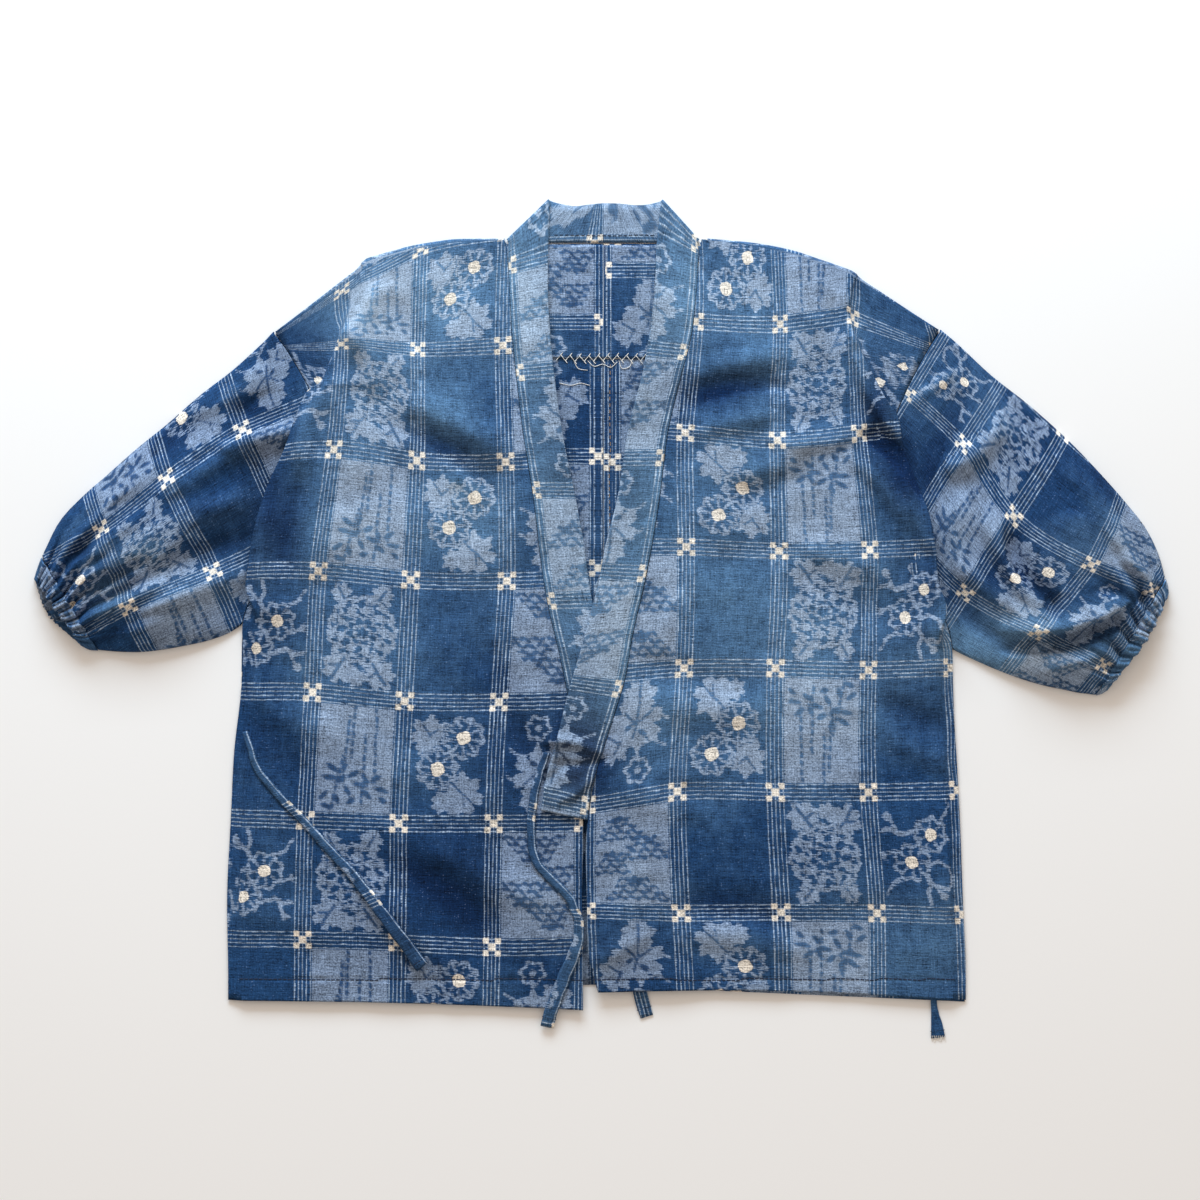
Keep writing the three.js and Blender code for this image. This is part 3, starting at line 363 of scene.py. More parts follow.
def front_section(side, row):
    """Points of one section across a front, from the opening to its seam at the side."""
    inner_x = row["inner_x"]
    if inner_x is None:
        inner_x = seam_at(side["band"], row["inner_y"]) + side["sign"] * SEAM_GAP
    inner = np.array([inner_x, row["inner_y"]])
    sewn = row["share"] is not None
    end = sleeve_seam(side, row["share"]) if sewn else np.array([row["end_x"], row["end_y"]])
    end_z = SLEEVE_SEAM_Z if sewn else SIDE_SEAM_Z
    angle = math.radians(row["turn"])
    run = ROLL * math.sin(angle) / angle if angle else ROLL
    drop = ROLL * (1 - math.cos(angle)) / angle if angle else 0.0
    crest = end if row["crest_x"] is None else np.array([row["crest_x"], row["crest_y"]])
    along = (crest - inner) / np.linalg.norm(crest - inner)
    aside = np.array([-along[1], along[0]])
    tuck_run = row["tuck"] * math.cos(angle)
    out = row["out"]
    if out is None:
        onset = crest - along * run
        out = max(3, float((end - onset) @ along) - 2 * run - tuck_run)
    else:
        onset = end - along * (2 * run + tuck_run + out)
    reach = 2 * run + tuck_run + out
    slip, stretch = float((end - onset) @ aside), float((end - onset) @ along) - reach

    def arc(a):
        return (ROLL * np.sin(a) / angle, ROLL * (1 - np.cos(a)) / angle) if angle else (None, None)

    k = np.arange(1, TURN_CELLS + 1) / TURN_CELLS
    first = np.stack(arc(angle * k), -1) if angle else np.stack([ROLL * k, 0 * k], -1)
    t = (np.arange(1, TUCK_CELLS + 1) / TUCK_CELLS)[:, None]
    tuck = np.array([run, drop]) + t * np.array([tuck_run, row["tuck"] * math.sin(angle)])
    turned = tuck[-1]
    if angle:
        back = np.stack(arc(angle * (1 - k)), -1)
        second = turned + np.array([run, drop]) - back
    else:
        second = turned + np.stack([ROLL * k, 0 * k], -1)
    t = (np.arange(1, OUT_CELLS + 1) / OUT_CELLS)[:, None]
    beyond = second[-1] + t * np.array([out, 0])
    path = np.concatenate([[[0, 0]], first, tuck, second, beyond])
    crest_z = max(end_z + path[-1, 1], FRONT_Z + (row["rise"] or 0))
    spare = crest_z - end_z - path[-1, 1]

    width = np.linalg.norm(onset - inner)
    hold = ROLL_HOLD + (row["tuck"] if row["turn"] > 90 else 0)
    plain = width - hold - ROLL_RISE
    place = np.concatenate([np.linspace(0, plain, PLAIN_CELLS, endpoint=False),
                            np.linspace(plain, plain + ROLL_RISE, RISE_CELLS, endpoint=False),
                            np.linspace(width - hold, width, HOLD_CELLS, endpoint=False)])
    t = place / width
    lift = (row["lift"] - FRONT_Z) * (1 - smooth((place - LIFT_HOLD) / LIFT_FALL))
    z = lerp(FRONT_Z + lift, crest_z, smooth(1 - (width - hold - place) / ROLL_RISE))
    top = at(lerp(inner[0], onset[0], t), lerp(inner[1], onset[1], t) + row["sag"] * np.sin(np.pi * t), z)
    lengths = np.concatenate([[0], np.cumsum(np.linalg.norm(np.diff(path, axis=0), axis=1))])
    f = (lengths / lengths[-1])[:, None]
    flat = onset + along * (path[:, :1] + stretch * f) + aside * slip * f
    rolled = at(flat[:, 0], flat[:, 1], crest_z - path[:, 1] - spare * smooth(f[:, 0]))
    return np.concatenate([top, rolled])


BACK_COLUMNS = ["centre_y", "share", "end_x", "end_y", "kept"]
RIGHT_BACK = table(BACK_COLUMNS, [
    [246, 0.03, o, o, 0.97], [300, 0.15, o, o, 0.8], [360, 0.3, o, o, 0.55], [430, 0.48, o, o, 0.3],
    [505, 0.68, o, o, 0.12], [575, 0.87, o, o, 0], [625, 1, o, o, 0], [720, o, 240.5, 715, 0],
    [850, o, 230.5, 850, 0], [985, o, 230, 989, 0]])
LEFT_BACK = table(BACK_COLUMNS, [
    [246, 0.03, o, o, 0.97], [300, 0.15, o, o, 0.8], [360, 0.3, o, o, 0.55], [430, 0.48, o, o, 0.3],
    [505, 0.68, o, o, 0.12], [585, 0.87, o, o, 0], [645, 1, o, o, 0], [730, o, 954, 735, 0],
    [850, o, 960, 855, 0], [986, o, 965, 1002, 0]])
NECK_CELLS, SHOULDER_STEPS = 44, 8
NECK_SHOWS_TO = 560         # how far down the inside of the back shows between the collar's two sides
FINE, COARSE = 2.2, 12.0    # spacing of the rows on the fronts and on the hidden back


def body(side, front_rows, back_rows):
    """Grid of one body piece, from the front hem over the shoulder to the back hem."""
    coarse = [front_section(side, row) for row in front_rows]
    front = between(coarse, steps_for([c[:TOP_COLUMNS] for c in coarse], FINE))
    relief = front_relief(*table_xy(front[:, :TOP_COLUMNS]))
    front[:, :TOP_COLUMNS, 2] += relief
    f = np.linspace(0, 1, front.shape[1] - TOP_COLUMNS + 1)[1:]
    front[:, TOP_COLUMNS:, 2] += relief[:, -1:] * (1 - smooth(f))
    shoulder = front[-1]
    tangent = np.gradient(shoulder[:, :2], axis=0)
    tangent /= np.linalg.norm(tangent, axis=1)[:, None]
    outward = np.stack([-tangent[:, 1], tangent[:, 0]], 1) * side["sign"]
    turn = []
    for k in range(1, SHOULDER_STEPS + 1):
        a = math.pi * k / SHOULDER_STEPS
        radius = (shoulder[:, 2] - BACK_Z) / 2
        row = shoulder.copy()
        row[:, :2] += outward * (radius * math.sin(a))[:, None]
        row[:, 2] = BACK_Z + radius * (1 + math.cos(a))
        turn.append(row)
    shape = turn[-1].copy()
    shape[:, 2] = BACK_Z
    s = np.linalg.norm(shape - shape[0], axis=1) / np.linalg.norm(shape[-1] - shape[0])
    backs = []
    for n, row in enumerate(back_rows):
        if row["share"] is None:
            end_x, end_y = row["end_x"], row["end_y"]
        else:
            end_x, end_y = sleeve_seam(side, row["share"], BACK_DRAWN)
        neck_x = lerp(side["neck"][0], side["centre"], 0.02)
        t = (neck_x - side["centre"]) / (end_x - side["centre"])
        centre_y = NECK_BACK_Y if n == 0 else row["centre_y"]
        neck_y = NECK_BACK_Y + 0.4 if n == 0 else lerp(centre_y, end_y, t * (1 - row["kept"]))
        k = np.arange(NECK_CELLS) / NECK_CELLS
        inner = at(lerp(side["centre"], neck_x, k), lerp(centre_y, neck_y, k), BACK_Z)
        neck, end = at(neck_x, neck_y, BACK_Z), at(end_x, end_y, BACK_Z)
        slope = (shape - lerp(shape[0], shape[-1], s[:, None])) * row["kept"]
        backs.append(np.concatenate([inner, lerp(neck, end, s[:, None]) + slope]))
    counts = steps_for(backs, COARSE)
    for n, row in enumerate(back_rows[:-1]):
        if row["centre_y"] < NECK_SHOWS_TO:
            counts[n] = max(1, round((back_rows[n + 1]["centre_y"] - row["centre_y"]) / FINE / 4)) * 4
    back = between(backs, counts)
    fine_back = sum(counts[:sum(row["centre_y"] < NECK_SHOWS_TO for row in back_rows)])

    def pad(rows):
        rows = np.array(rows)
        return np.concatenate([np.repeat(rows[:, :1], NECK_CELLS, 1), rows], 1)

    grid = np.concatenate([pad(front), pad(turn), back])
    here = np.ones((grid.shape[0] - 1, grid.shape[1] - 1), bool)
    here[:len(front) + SHOULDER_STEPS, :NECK_CELLS] = False
    return grid, here, len(front), fine_back


# Sleeves and cuffs
RING_COLUMNS = ["top_x", "top_y", "under_x", "under_y", "bow", "puff", "wave"]
SLEEVES = {
    "right": table(RING_COLUMNS, [
        [276, 333, 243, 622, 70, 0, 0], [260, 347, 238, 626, 10, 1.4, 0], [236, 369, 228, 632, 8, 9, 0],
        [200, 397, 206, 640, 0, 19, 0], [167, 426, 183, 645, 0, 26, 0], [136, 451, 160, 649, 0, 29, 0.3],
        [108, 476, 141, 651, 0, 27, 0.8], [83, 498, 124, 651, 0, 22, 1.5], [60, 523, 108, 650, 0, 16, 2.1],
        [43, 557, 98, 649, -1, 12, 2.4]]),
    "left": table(RING_COLUMNS, [
        [938, 331, 952, 648, 62, 0, 0], [958, 346, 958, 651, 14, 1.4, 0], [990, 376, 975, 659, 8, 9, 0],
        [1028, 406, 998, 669, 0, 19, 0], [1066, 440, 1022, 678, 0, 26, 0],
        [1098, 473, 1046, 685, 0, 29, 0.3], [1126, 505, 1066, 689, 0, 27, 0.8],
        [1146, 531, 1080, 692, 0, 22, 1.5], [1158, 556, 1089, 693, 0, 16, 2.1],
        [1164, 578, 1096, 694, -1, 12, 2.4]]),
}
CUFFS = {
    "right": table(RING_COLUMNS, [
        [42, 559, 97, 649, -1, 12, 2.2], [38, 570, 88, 648, -4, 12, 1], [35, 580, 80, 644, -6, 11, 2.4]]),
    "left": table(RING_COLUMNS, [
        [1165, 580, 1097, 694, -1, 12, 2.2], [1167, 587, 1103, 692, -4, 12, 1],
        [1168, 594, 1108, 689, -7, 11, 2.4]]),
}
GATHERS, FINE_GATHERS = 7, 19
WRIST_WAVE, CRINKLE = 2.6, 3.0      # how deep the long folds at the wrist and the crinkles of the cuff are
ROOT_REACH, WRIST_REACH = 34, 44    # how far from the armhole creases grow, and crinkles run up from the cuff
FULL_HEIGHT, PRESSED = 31, 0.65     # folds over this height lie lower by that share of what is over it
LEAST_GAP = 0.5                     # kept between the two sides of a sleeve
EDGE_TURN = (SLEEVE_SEAM_Z - BACK_Z) / 2
HALF_POINTS, EDGE_POINTS = 132, 5
UPPER = slice(0, HALF_POINTS + 1)
LOWER = slice(HALF_POINTS + EDGE_POINTS, 2 * HALF_POINTS + EDGE_POINTS + 1)


def crinkled(t, seed):
    """Fine crinkles of gathered cloth from one edge of the cuff to the other, from -1 to 1."""
    wander = 0.45 * noise(t * 9, 0 * t, 1, seed)
    depth = 0.68 + 0.32 * noise(t * 7, 0 * t, 1, seed + 1)
    return np.sin(2 * np.pi * (FINE_GATHERS * t + wander)) * depth * smooth(np.minimum(t, 1 - t) / 0.04)


def ring(side, row, seam=None):
    """One ring of a sleeve: its upper half from the top edge down, the turn, and its lower half back."""
    top, under = np.array([row["top_x"], row["top_y"]]), np.array([row["under_x"], row["under_y"]])
    t = np.linspace(0, 1, HALF_POINTS + 1)
    bow = np.array([drawn_in(x) for x in t])
    p = top + (under - top) * t[:, None]
    rise = np.sin(np.pi * t) ** 0.5
    wander = 0.3 * noise(t * 5, 0 * t, 1, 41)
    wave = WRIST_WAVE * row["wave"] * rise * np.sin(2 * np.pi * (GATHERS * t + wander))
    z = SLEEVE_SEAM_Z + row["puff"] * rise + wave
    if seam is None:
        upper = at(p[:, 0] - side["sign"] * row["bow"] * bow, p[:, 1], z)
    else:
        upper = at(seam[:, 0], seam[:, 1], z)
    lean = row["bow"] / side["drawn"] * BACK_DRAWN * bow
    lift = row["wave"] * np.sin(np.pi * t) * (1 - np.cos(2 * np.pi * GATHERS * t)) * 0.4
    lower = at(p[:, 0] - side["sign"] * lean, p[:, 1], BACK_Z + lift)[::-1]
    down = (under - top) / np.linalg.norm(under - top)
    a = np.pi * np.arange(1, EDGE_POINTS) / EDGE_POINTS

    def turn(corner, sense):
        flat = corner + sense * down * (EDGE_TURN * np.sin(a))[:, None]
        return at(flat[:, 0], flat[:, 1], BACK_Z + EDGE_TURN * (1 + sense * np.cos(a)))

    # from the upper half round the underarm edge to the lower half, and back round the top edge
    return np.concatenate([upper, turn(under, 1), lower, turn(top, -1)])


def sleeve(side, rows, seam_line):
    """Rings from the armhole to the cuff. The first follows the end of the front, a stitch away from it."""
    t = np.linspace(0, 1, HALF_POINTS + 1)
    chord = np.array(side["top"]) + (np.array(side["under"]) - np.array(side["top"])) * t[:, None]
    order = np.argsort(seam_line[:, 1])
    x = np.interp(chord[:, 1], seam_line[order, 1], seam_line[order, 0])
    gap = lerp(SHOULDER_GAP, ARM_GAP, np.clip(t / 0.06, 0, 1))
    sewn = np.stack([x + side["sign"] * gap, chord[:, 1]], 1)
    first = dict(rows[0])
    first["top_x"] += side["sign"] * SHOULDER_GAP
    first["under_x"] += side["sign"] * ARM_GAP
    rings = [ring(side, first, sewn)] + [ring(side, row) for row in rows[1:]]
    grid = between(rings, steps_for([r[:HALF_POINTS] for r in rings], SLEEVE_STEP))
    upper = grid[:, :HALF_POINTS + 1]
    x, y = table_xy(upper)
    from_root = np.linalg.norm(upper[..., :2] - upper[:1, :, :2], axis=-1)
    relief = creased(SLEEVE_CREASES, x, y) + 0.9 * noise(x, y, 40, 11) + 0.5 * noise(x, y, 18, 13)
    upper[..., 2] += relief * smooth(from_root / ROOT_REACH) * np.sin(np.pi * t) ** 0.6
    to_cuff = np.linalg.norm(upper[..., :2] - upper[-1:, :, :2], axis=-1)
    upper[..., 2] += CRINKLE * crinkled(t, 51) * (1 - smooth(to_cuff / WRIST_REACH))
    over = np.maximum(upper[..., 2] - FULL_HEIGHT, 0)
    upper[..., 2] -= over * PRESSED
    upper[..., 2] = np.maximum(upper[..., 2], grid[:, LOWER][:, ::-1, 2] + CLOTH + LEAST_GAP)
    return grid


CUFF_OVER, CUFF_LAP = 1.7, 2.6      # the cuff stands over the sleeve's end, and laps it, by this much
LIP_CRINKLE = 1.3                   # how far the crinkles draw the two lips in and out
LIPS = {"right": (6.5, 8.5), "left": (1.5, 5.0)}    # upper lip drawn back, lower lip out


def cuff(side, rows, drawn_back, lip_out):
    """Gathered rings. At the wrist the upper lip is drawn back and the lower one reaches further out."""
    rings = np.array([ring(side, row) for row in rows])
    rings[..., 2] += (CUFF - CLOTH) / 2
    t = np.linspace(0, 1, HALF_POINTS + 1)
    bow = (np.sin(np.pi * t) ** 0.7)[:, None]
    out = rings[-1, UPPER, :2] - rings[0, UPPER, :2]
    out /= np.linalg.norm(out, axis=1)[:, None]
    for n, share in ((1, 0.3), (2, 1.0)):
        rings[n, UPPER, :2] -= out * bow * (drawn_back * share - LIP_CRINKLE * crinkled(t, 53)[:, None])
        rings[n, LOWER, :2] += (out * bow * (lip_out * share + LIP_CRINKLE * crinkled(t, 54)[:, None]))[::-1]
    rings[0, UPPER, 2] += CUFF_OVER
    rings[0, UPPER, :2] -= out * CUFF_LAP * bow
    grid = between(rings, 7)
    puff = np.sin(np.linspace(0, np.pi, len(grid)))[:, None]
    grid[:, UPPER, 2] += CRINKLE * crinkled(t, 51) * (1 + 0.4 * puff) + 1.4 * puff * bow[:, 0]
    grid[:, LOWER, 2] += (CRINKLE * (0.8 + crinkled(t, 55)) * bow[:, 0])[::-1]
    grid[:, UPPER, 2] = np.maximum(grid[:, UPPER, 2], grid[:, LOWER][:, ::-1, 2] + CUFF + LEAST_GAP)
    return grid


# Lining and ties
LINING_MIDDLE = 603


def lining():
    """The lining hangs from under the collar, its top a little lower beyond the collar's two sides."""
    t, x = np.meshgrid(np.linspace(0, 1, 49), np.linspace(450, 756, 129), indexing="ij")
    top_y = 245 + 5 * smooth((np.abs(x - LINING_MIDDLE) - 85) / 40)
    return at(x, lerp(top_y, 358, t), LINING_Z)


def cloth_top(layers, x, y):
    """Height of the highest cloth over points of the table, from grids of top faces."""
    best = np.zeros(np.shape(x))
    px, py = np.asarray(x) - CENTRE_X, CENTRE_Y - np.asarray(y)
    for grid, here, wall in layers:
        a, b, c, d = grid[:-1, :-1][here], grid[:-1, 1:][here], grid[1:, 1:][here], grid[1:, :-1][here]
        q, r, s = np.concatenate([a, a]), np.concatenate([b, c]), np.concatenate([c, d])
        low = np.minimum(np.minimum(q, r), s)
        high = np.maximum(np.maximum(q, r), s)
        for n in range(best.size):
            u0, v0 = px.flat[n], py.flat[n]
            near = (low[:, 0] <= u0) & (high[:, 0] >= u0) & (low[:, 1] <= v0) & (high[:, 1] >= v0)
            Q, R, S = q[near], r[near], s[near]
            area = (R[:, 0] - Q[:, 0]) * (S[:, 1] - Q[:, 1]) - (S[:, 0] - Q[:, 0]) * (R[:, 1] - Q[:, 1])
            ok = np.abs(area) > 1e-6
            Q, R, S, area = Q[ok], R[ok], S[ok], area[ok]
            u = ((u0 - Q[:, 0]) * (S[:, 1] - Q[:, 1]) - (S[:, 0] - Q[:, 0]) * (v0 - Q[:, 1])) / area
            v = ((R[:, 0] - Q[:, 0]) * (v0 - Q[:, 1]) - (u0 - Q[:, 0]) * (R[:, 1] - Q[:, 1])) / area
            hit = (u >= 0) & (v >= 0) & (u + v <= 1)
            if hit.any():
                z = Q[:, 2] + u * (R[:, 2] - Q[:, 2]) + v * (S[:, 2] - Q[:, 2])
                best.flat[n] = max(best.flat[n], z[hit].max() + wall / 2)
    return best


TIE_COLUMNS = ["x", "y", "width", "z"]
TIES = {
    "tie_side_right": table(TIE_COLUMNS, [
        [246, 731, 5], [253, 754, 6], [264, 777, 7], [284, 800, 8], [306, 822, 8], [329, 848, 9],
        [349, 869, 10], [366, 890, 11], [383, 912, 12], [402, 937, 13], [423, 966, 14]]),
    "tie_front_left": table(TIE_COLUMNS, [
        [547, 752, 6], [540, 772, 7], [534, 796, 8], [531, 820, 8], [532, 846, 8], [541, 868, 8],
        [558, 885, 8], [572, 902, 9], [579, 920, 9], [579, 938, 10], [573, 956, 12], [564, 977, 13],
        [556, 997, 13], [550, 1014, 13], [547, 1027, 13]]),
    "tie_front_right": table(TIE_COLUMNS, [
        [607, 812, 13, HIDDEN_TIE_Z], [612, 860, 13, HIDDEN_TIE_Z], [624, 925, 13, HIDDEN_TIE_Z],
        [636, 975, 13, HIDDEN_TIE_Z], [640, 992, 14, HIDDEN_TIE_Z], [643, 1004, 14, 1.3],
        [647, 1017, 13, 0.8]]),
    "tie_side_left": table(TIE_COLUMNS, [
        [930, 752, 9, HIDDEN_TIE_Z], [933, 820, 9, HIDDEN_TIE_Z], [935, 900, 9, HIDDEN_TIE_Z],
        [935, 975, 9, HIDDEN_TIE_Z], [934, 1003, 6, HIDDEN_TIE_Z], [935, 1012, 7, 1.4], [937, 1024, 11, 0.8],
        [938.5, 1038, 14, 0.8]]),
}
TIE_CELLS = 6
TIE_CROWN = 0.8                     # a folded strip is fuller along its middle than at its edges
TIE_GAP = 0.3                       # kept between a tie and the cloth under it


def tie(rows, layers=()):
    """A strip along its rows of points. With layers, it lies on top of them and bends over their folds."""
    points = [np.array([[r["x"], r["y"], r["z"] or 0], [r["width"], 0, 0]]) for r in rows]
    line = between(points, steps_for([p[:1] for p in points], TIE_STEP))
    centre, width = line[:, 0], line[:, 1, 0]
    tangent = np.gradient(centre[:, :2], axis=0)
    tangent /= np.linalg.norm(tangent, axis=1)[:, None]
    across = np.stack([-tangent[:, 1], tangent[:, 0]], 1)
    t = np.linspace(-1, 1, TIE_CELLS + 1)
    x = centre[:, :1] + across[:, :1] * t * width[:, None] / 2
    y = centre[:, 1:2] + across[:, 1:] * t * width[:, None] / 2
    z = centre[:, 2].copy()
    if layers:
        spots = np.linspace(-1.3, 1.3, 5)
        tops = cloth_top(layers, centre[:, :1] + across[:, :1] * spots * width[:, None] / 2,
                         centre[:, 1:2] + across[:, 1:] * spots * width[:, None] / 2).max(1)
        wide = np.array([tops[max(0, i - 4):i + 5].max() for i in range(len(tops))])
        z = np.convolve(np.pad(wide, 3, mode="edge"), np.ones(7) / 7, "valid") + TIE_GAP + TIE / 2
        z = np.maximum(z, tops + TIE_GAP + TIE / 2)
    crown = TIE_CROWN * (1 - t ** 2) if layers else 0 * t
    return at(x, y, z[:, None] + crown)


# From grids to pieces
SLOTS = {"kasuri_cloth": ["body_right", "body_left", "sleeve_right", "sleeve_left", "tie_side_left"],
         "faded_cloth": ["collar", "tie_side_right", "tie_front_left"],
         "lining_cloth": ["yoke_lining"], "cuff_cloth": ["cuff_right", "cuff_left", "tie_front_right"]}


def marks(count, step):
    """Rows or columns that are a step apart, with the first and the last."""
    return sorted(set(range(0, count, step)) | {count - 1})


def wall_mesh(name, grid, wall, uv, rows_kept=None, cols_kept=None, fine=None, fine_inside=None, here=None,
              round_=False):
    """A closed thin piece of cloth about a grid of middle points. Its faces have the whole grid where they
    are fine, outside or inside, and elsewhere only the kept rows and columns. uv is in millimetres."""
    rows, cols = grid.shape[:2]
    index = np.arange(rows * cols).reshape(rows, cols)
    if round_:
        grid = np.concatenate([grid, grid[:, :1]], 1)
        index = np.concatenate([index, index[:, :1]], 1)
    here = np.ones((rows - 1, grid.shape[1] - 1), bool) if here is None else here
    n = np.zeros_like(grid)
    face = np.cross(grid[1:, 1:] - grid[:-1, :-1], grid[1:, :-1] - grid[:-1, 1:])
    face = face / np.maximum(np.linalg.norm(face, axis=-1, keepdims=True), 1e-9) * here[..., None]
    for di in (0, 1):
        for dj in (0, 1):
            n[di:di + rows - 1, dj:dj + face.shape[1]] += face
    if round_:
        n[:, 0] += n[:, -1]
    n /= np.maximum(np.linalg.norm(n, axis=-1, keepdims=True), 1e-9)
    n, middle = n[:, :cols], grid[:, :cols]
    if n[:rows // 2, :max(2, cols // 2), 2].sum() < 0:
        n = -n
    verts = np.concatenate([(middle + n * wall / 2).reshape(-1, 3), (middle - n * wall / 2).reshape(-1, 3)])
    vert_uv = np.concatenate([uv[:, :cols].reshape(-1, 2)] * 2)
    count = rows * cols
    kept_r = marks(rows, 4) if rows_kept is None else rows_kept
    kept_c = marks(grid.shape[1], 4) if cols_kept is None else cols_kept
    choices = ((lambda i, j: True) if fine is None else fine,
               (lambda i, j: False) if fine_inside is None else fine_inside)

    loops, uvs, sizes = [], [], []

    def add(spots, lower):
        loops.extend(index[i, j] + (count if low else 0) for (i, j), low in zip(spots, lower))
        uvs.extend(uv[i, j] for i, j in spots)
        sizes.append(len(spots))

    def cloth(a, b):
        return 0 <= a < len(kept_r) - 1 and 0 <= b < len(kept_c) - 1 and here[kept_r[a], kept_c[b]]

    def is_fine(face, a, b):
        return cloth(a, b) and choices[face](kept_r[a], kept_c[b])

    fine_cells = np.zeros((2,) + here.shape, bool)
    last = len(kept_c) - 1
    for a in range(len(kept_r) - 1):
        for b in range(last):
            if not cloth(a, b):
                continue
            r0, r1, c0, c1 = kept_r[a], kept_r[a + 1], kept_c[b], kept_c[b + 1]
            left, right = ((b - 1) % last, (b + 1) % last) if round_ else (b - 1, b + 1)
            sides = [([(i, c0) for i in range(r0, r1 + 1)], (a, left)),
                     ([(r1, j) for j in range(c0, c1 + 1)], (a + 1, b)),
                     ([(i, c1) for i in range(r1, r0 - 1, -1)], (a, right)),
                     ([(r0, j) for j in range(c1, c0 - 1, -1)], (a - 1, b))]
            for face in (0, 1):
                mine = is_fine(face, a, b)
                outline = []
                for line, near in sides:
                    outline += (line if mine or is_fine(face, *near) else [line[0], line[-1]])[:-1]
                if mine:
                    fine_cells[face, r0:r1, c0:c1] = True
                else:
                    add(outline[::-1] if face else outline, [face] * len(outline))
            for line, near in sides:
                if not cloth(*near):
                    high, low = (line if is_fine(face, a, b) else [line[0], line[-1]] for face in (0, 1))
                    add(high[::-1] + low, [0] * len(high) + [1] * len(low))
    quads, quad_uv = [], []
    for face in (0, 1):
        i, j = np.nonzero(fine_cells[face])
        corners = [(i, j), (i + 1, j), (i + 1, j + 1), (i, j + 1)][::-1 if face else 1]
        quads.append(np.stack([index[c] for c in corners], 1) + face * count)
        quad_uv.append(np.stack([uv[c] for c in corners], 1))
    quads, quad_uv = np.concatenate(quads), np.concatenate(quad_uv)
    loops = np.concatenate([np.array(loops, int), quads.ravel()])
    uvs = np.concatenate([np.array(uvs).reshape(-1, 2), quad_uv.reshape(-1, 2)])
    sizes = np.concatenate([np.array(sizes, int), np.full(len(quads), 4)])
    starts = np.concatenate([[0], np.cumsum(sizes)[:-1]])
    used, loops = np.unique(loops, return_inverse=True)
    verts, vert_uv = verts[used], vert_uv[used]
    volume = 0.0
    for size in np.unique(sizes):
        first = starts[sizes == size]
        for k in range(1, size - 1):
            p, q, r = verts[loops[first]], verts[loops[first + k]], verts[loops[first + k + 1]]
            volume += np.einsum("ij,ij->i", p, np.cross(q, r)).sum()
    if volume < 0:
        order = np.concatenate([np.arange(s + n - 1, s - 1, -1) for s, n in zip(starts, sizes)])
        loops, uvs = loops[order], uvs[order]
    mesh = bpy.data.meshes.new(name)
    mesh.vertices.add(len(verts))
    mesh.vertices.foreach_set("co", (verts * MM).astype(np.float32).ravel())
    mesh.loops.add(len(loops))
    mesh.loops.foreach_set("vertex_index", loops.astype(np.int32))
    mesh.polygons.add(len(sizes))
    mesh.polygons.foreach_set("loop_start", starts.astype(np.int32))
    mesh.polygons.foreach_set("loop_total", sizes.astype(np.int32))
    mesh.update(calc_edges=True)
    mesh.polygons.foreach_set("use_smooth", np.ones(len(sizes), bool))
    layer = mesh.uv_layers.new(name="cloth")
    layer.data.foreach_set("uv", (uvs * MM).astype(np.float32).ravel())
    piece = bpy.data.objects.new(name + "_cloth", mesh)
    scene.collection.objects.link(piece)
    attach(piece, "root")
    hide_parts(name)
    next(slot for slot, names in SLOTS.items() if name in names)
    return piece, vert_uv


# How the loom cloth lies on each piece
# The cloth is 376 mm wide: four columns of checks, 94 mm each, and rows of checks 121 mm long.
# u runs across the cloth from one selvage, v along it. Each knot gives a crossing of the check's lines
# on the cutting table (x, y) with its column line and row line.
COLUMN, ROW = 94.0, 121.0
KNOT_COLUMNS = ["x", "y", "column", "row"]
CLOTH_KNOTS = {
    "body_left": table(KNOT_COLUMNS, [
        [695, 322, 1, 1], [780, 325, 2, 1], [853, 315, 3, 1], [685, 433, 1, 2], [777, 441, 2, 2],
        [858, 434, 3, 2], [686, 547, 1, 3], [779, 551, 2, 3], [869, 550, 3, 3], [684, 668, 1, 4],
        [775, 668, 2, 4], [868, 670, 3, 4], [951, 667, 4, 4], [587, 805, 0, 5], [677, 791, 1, 5],
        [775, 792, 2, 5], [868, 792, 3, 5], [958, 790, 4, 5], [587, 910, 0, 6], [681, 913, 1, 6],
        [781, 912, 2, 6], [877, 913, 3, 6], [963, 915, 4, 6]]),
    "body_right": table(KNOT_COLUMNS, [
        [421, 249, 2, 7], [340, 286, 3, 7], [343, 345, 3, 6], [418, 350, 2, 6], [503, 346, 1, 6],
        [335, 450, 3, 5], [417, 461, 2, 5], [506, 462, 1, 5], [319, 571, 3, 4], [411, 580, 2, 4],
        [507, 581, 1, 4], [313, 692, 3, 3], [405, 701, 2, 3], [499, 702, 1, 3], [583, 822, 0, 2],
        [306, 820, 3, 2], [399, 823, 2, 2], [494, 823, 1, 2], [303, 939, 3, 1], [398, 942, 2, 1],
        [492, 947, 1, 1], [583, 945, 0, 1]]),
    "sleeve_right": table(KNOT_COLUMNS, [
        [318, 398, 0, 2], [243, 430, 1, 2], [170, 480, 2, 2], [105, 530, 3, 2], [288, 535, 1, 1],
        [215, 572, 2, 1], [132, 607, 3, 1], [260, 322, 0.4, 3]]),
    "sleeve_left": table(KNOT_COLUMNS, [
        [908, 393, 4, 1], [963, 444, 3, 1], [1011, 517, 2, 1], [1086, 565, 1, 1], [1150, 590, 0, 1],
        [965, 593, 2, 0], [1034, 632, 1, 0], [1000, 372, 3.1, 2]]),
}


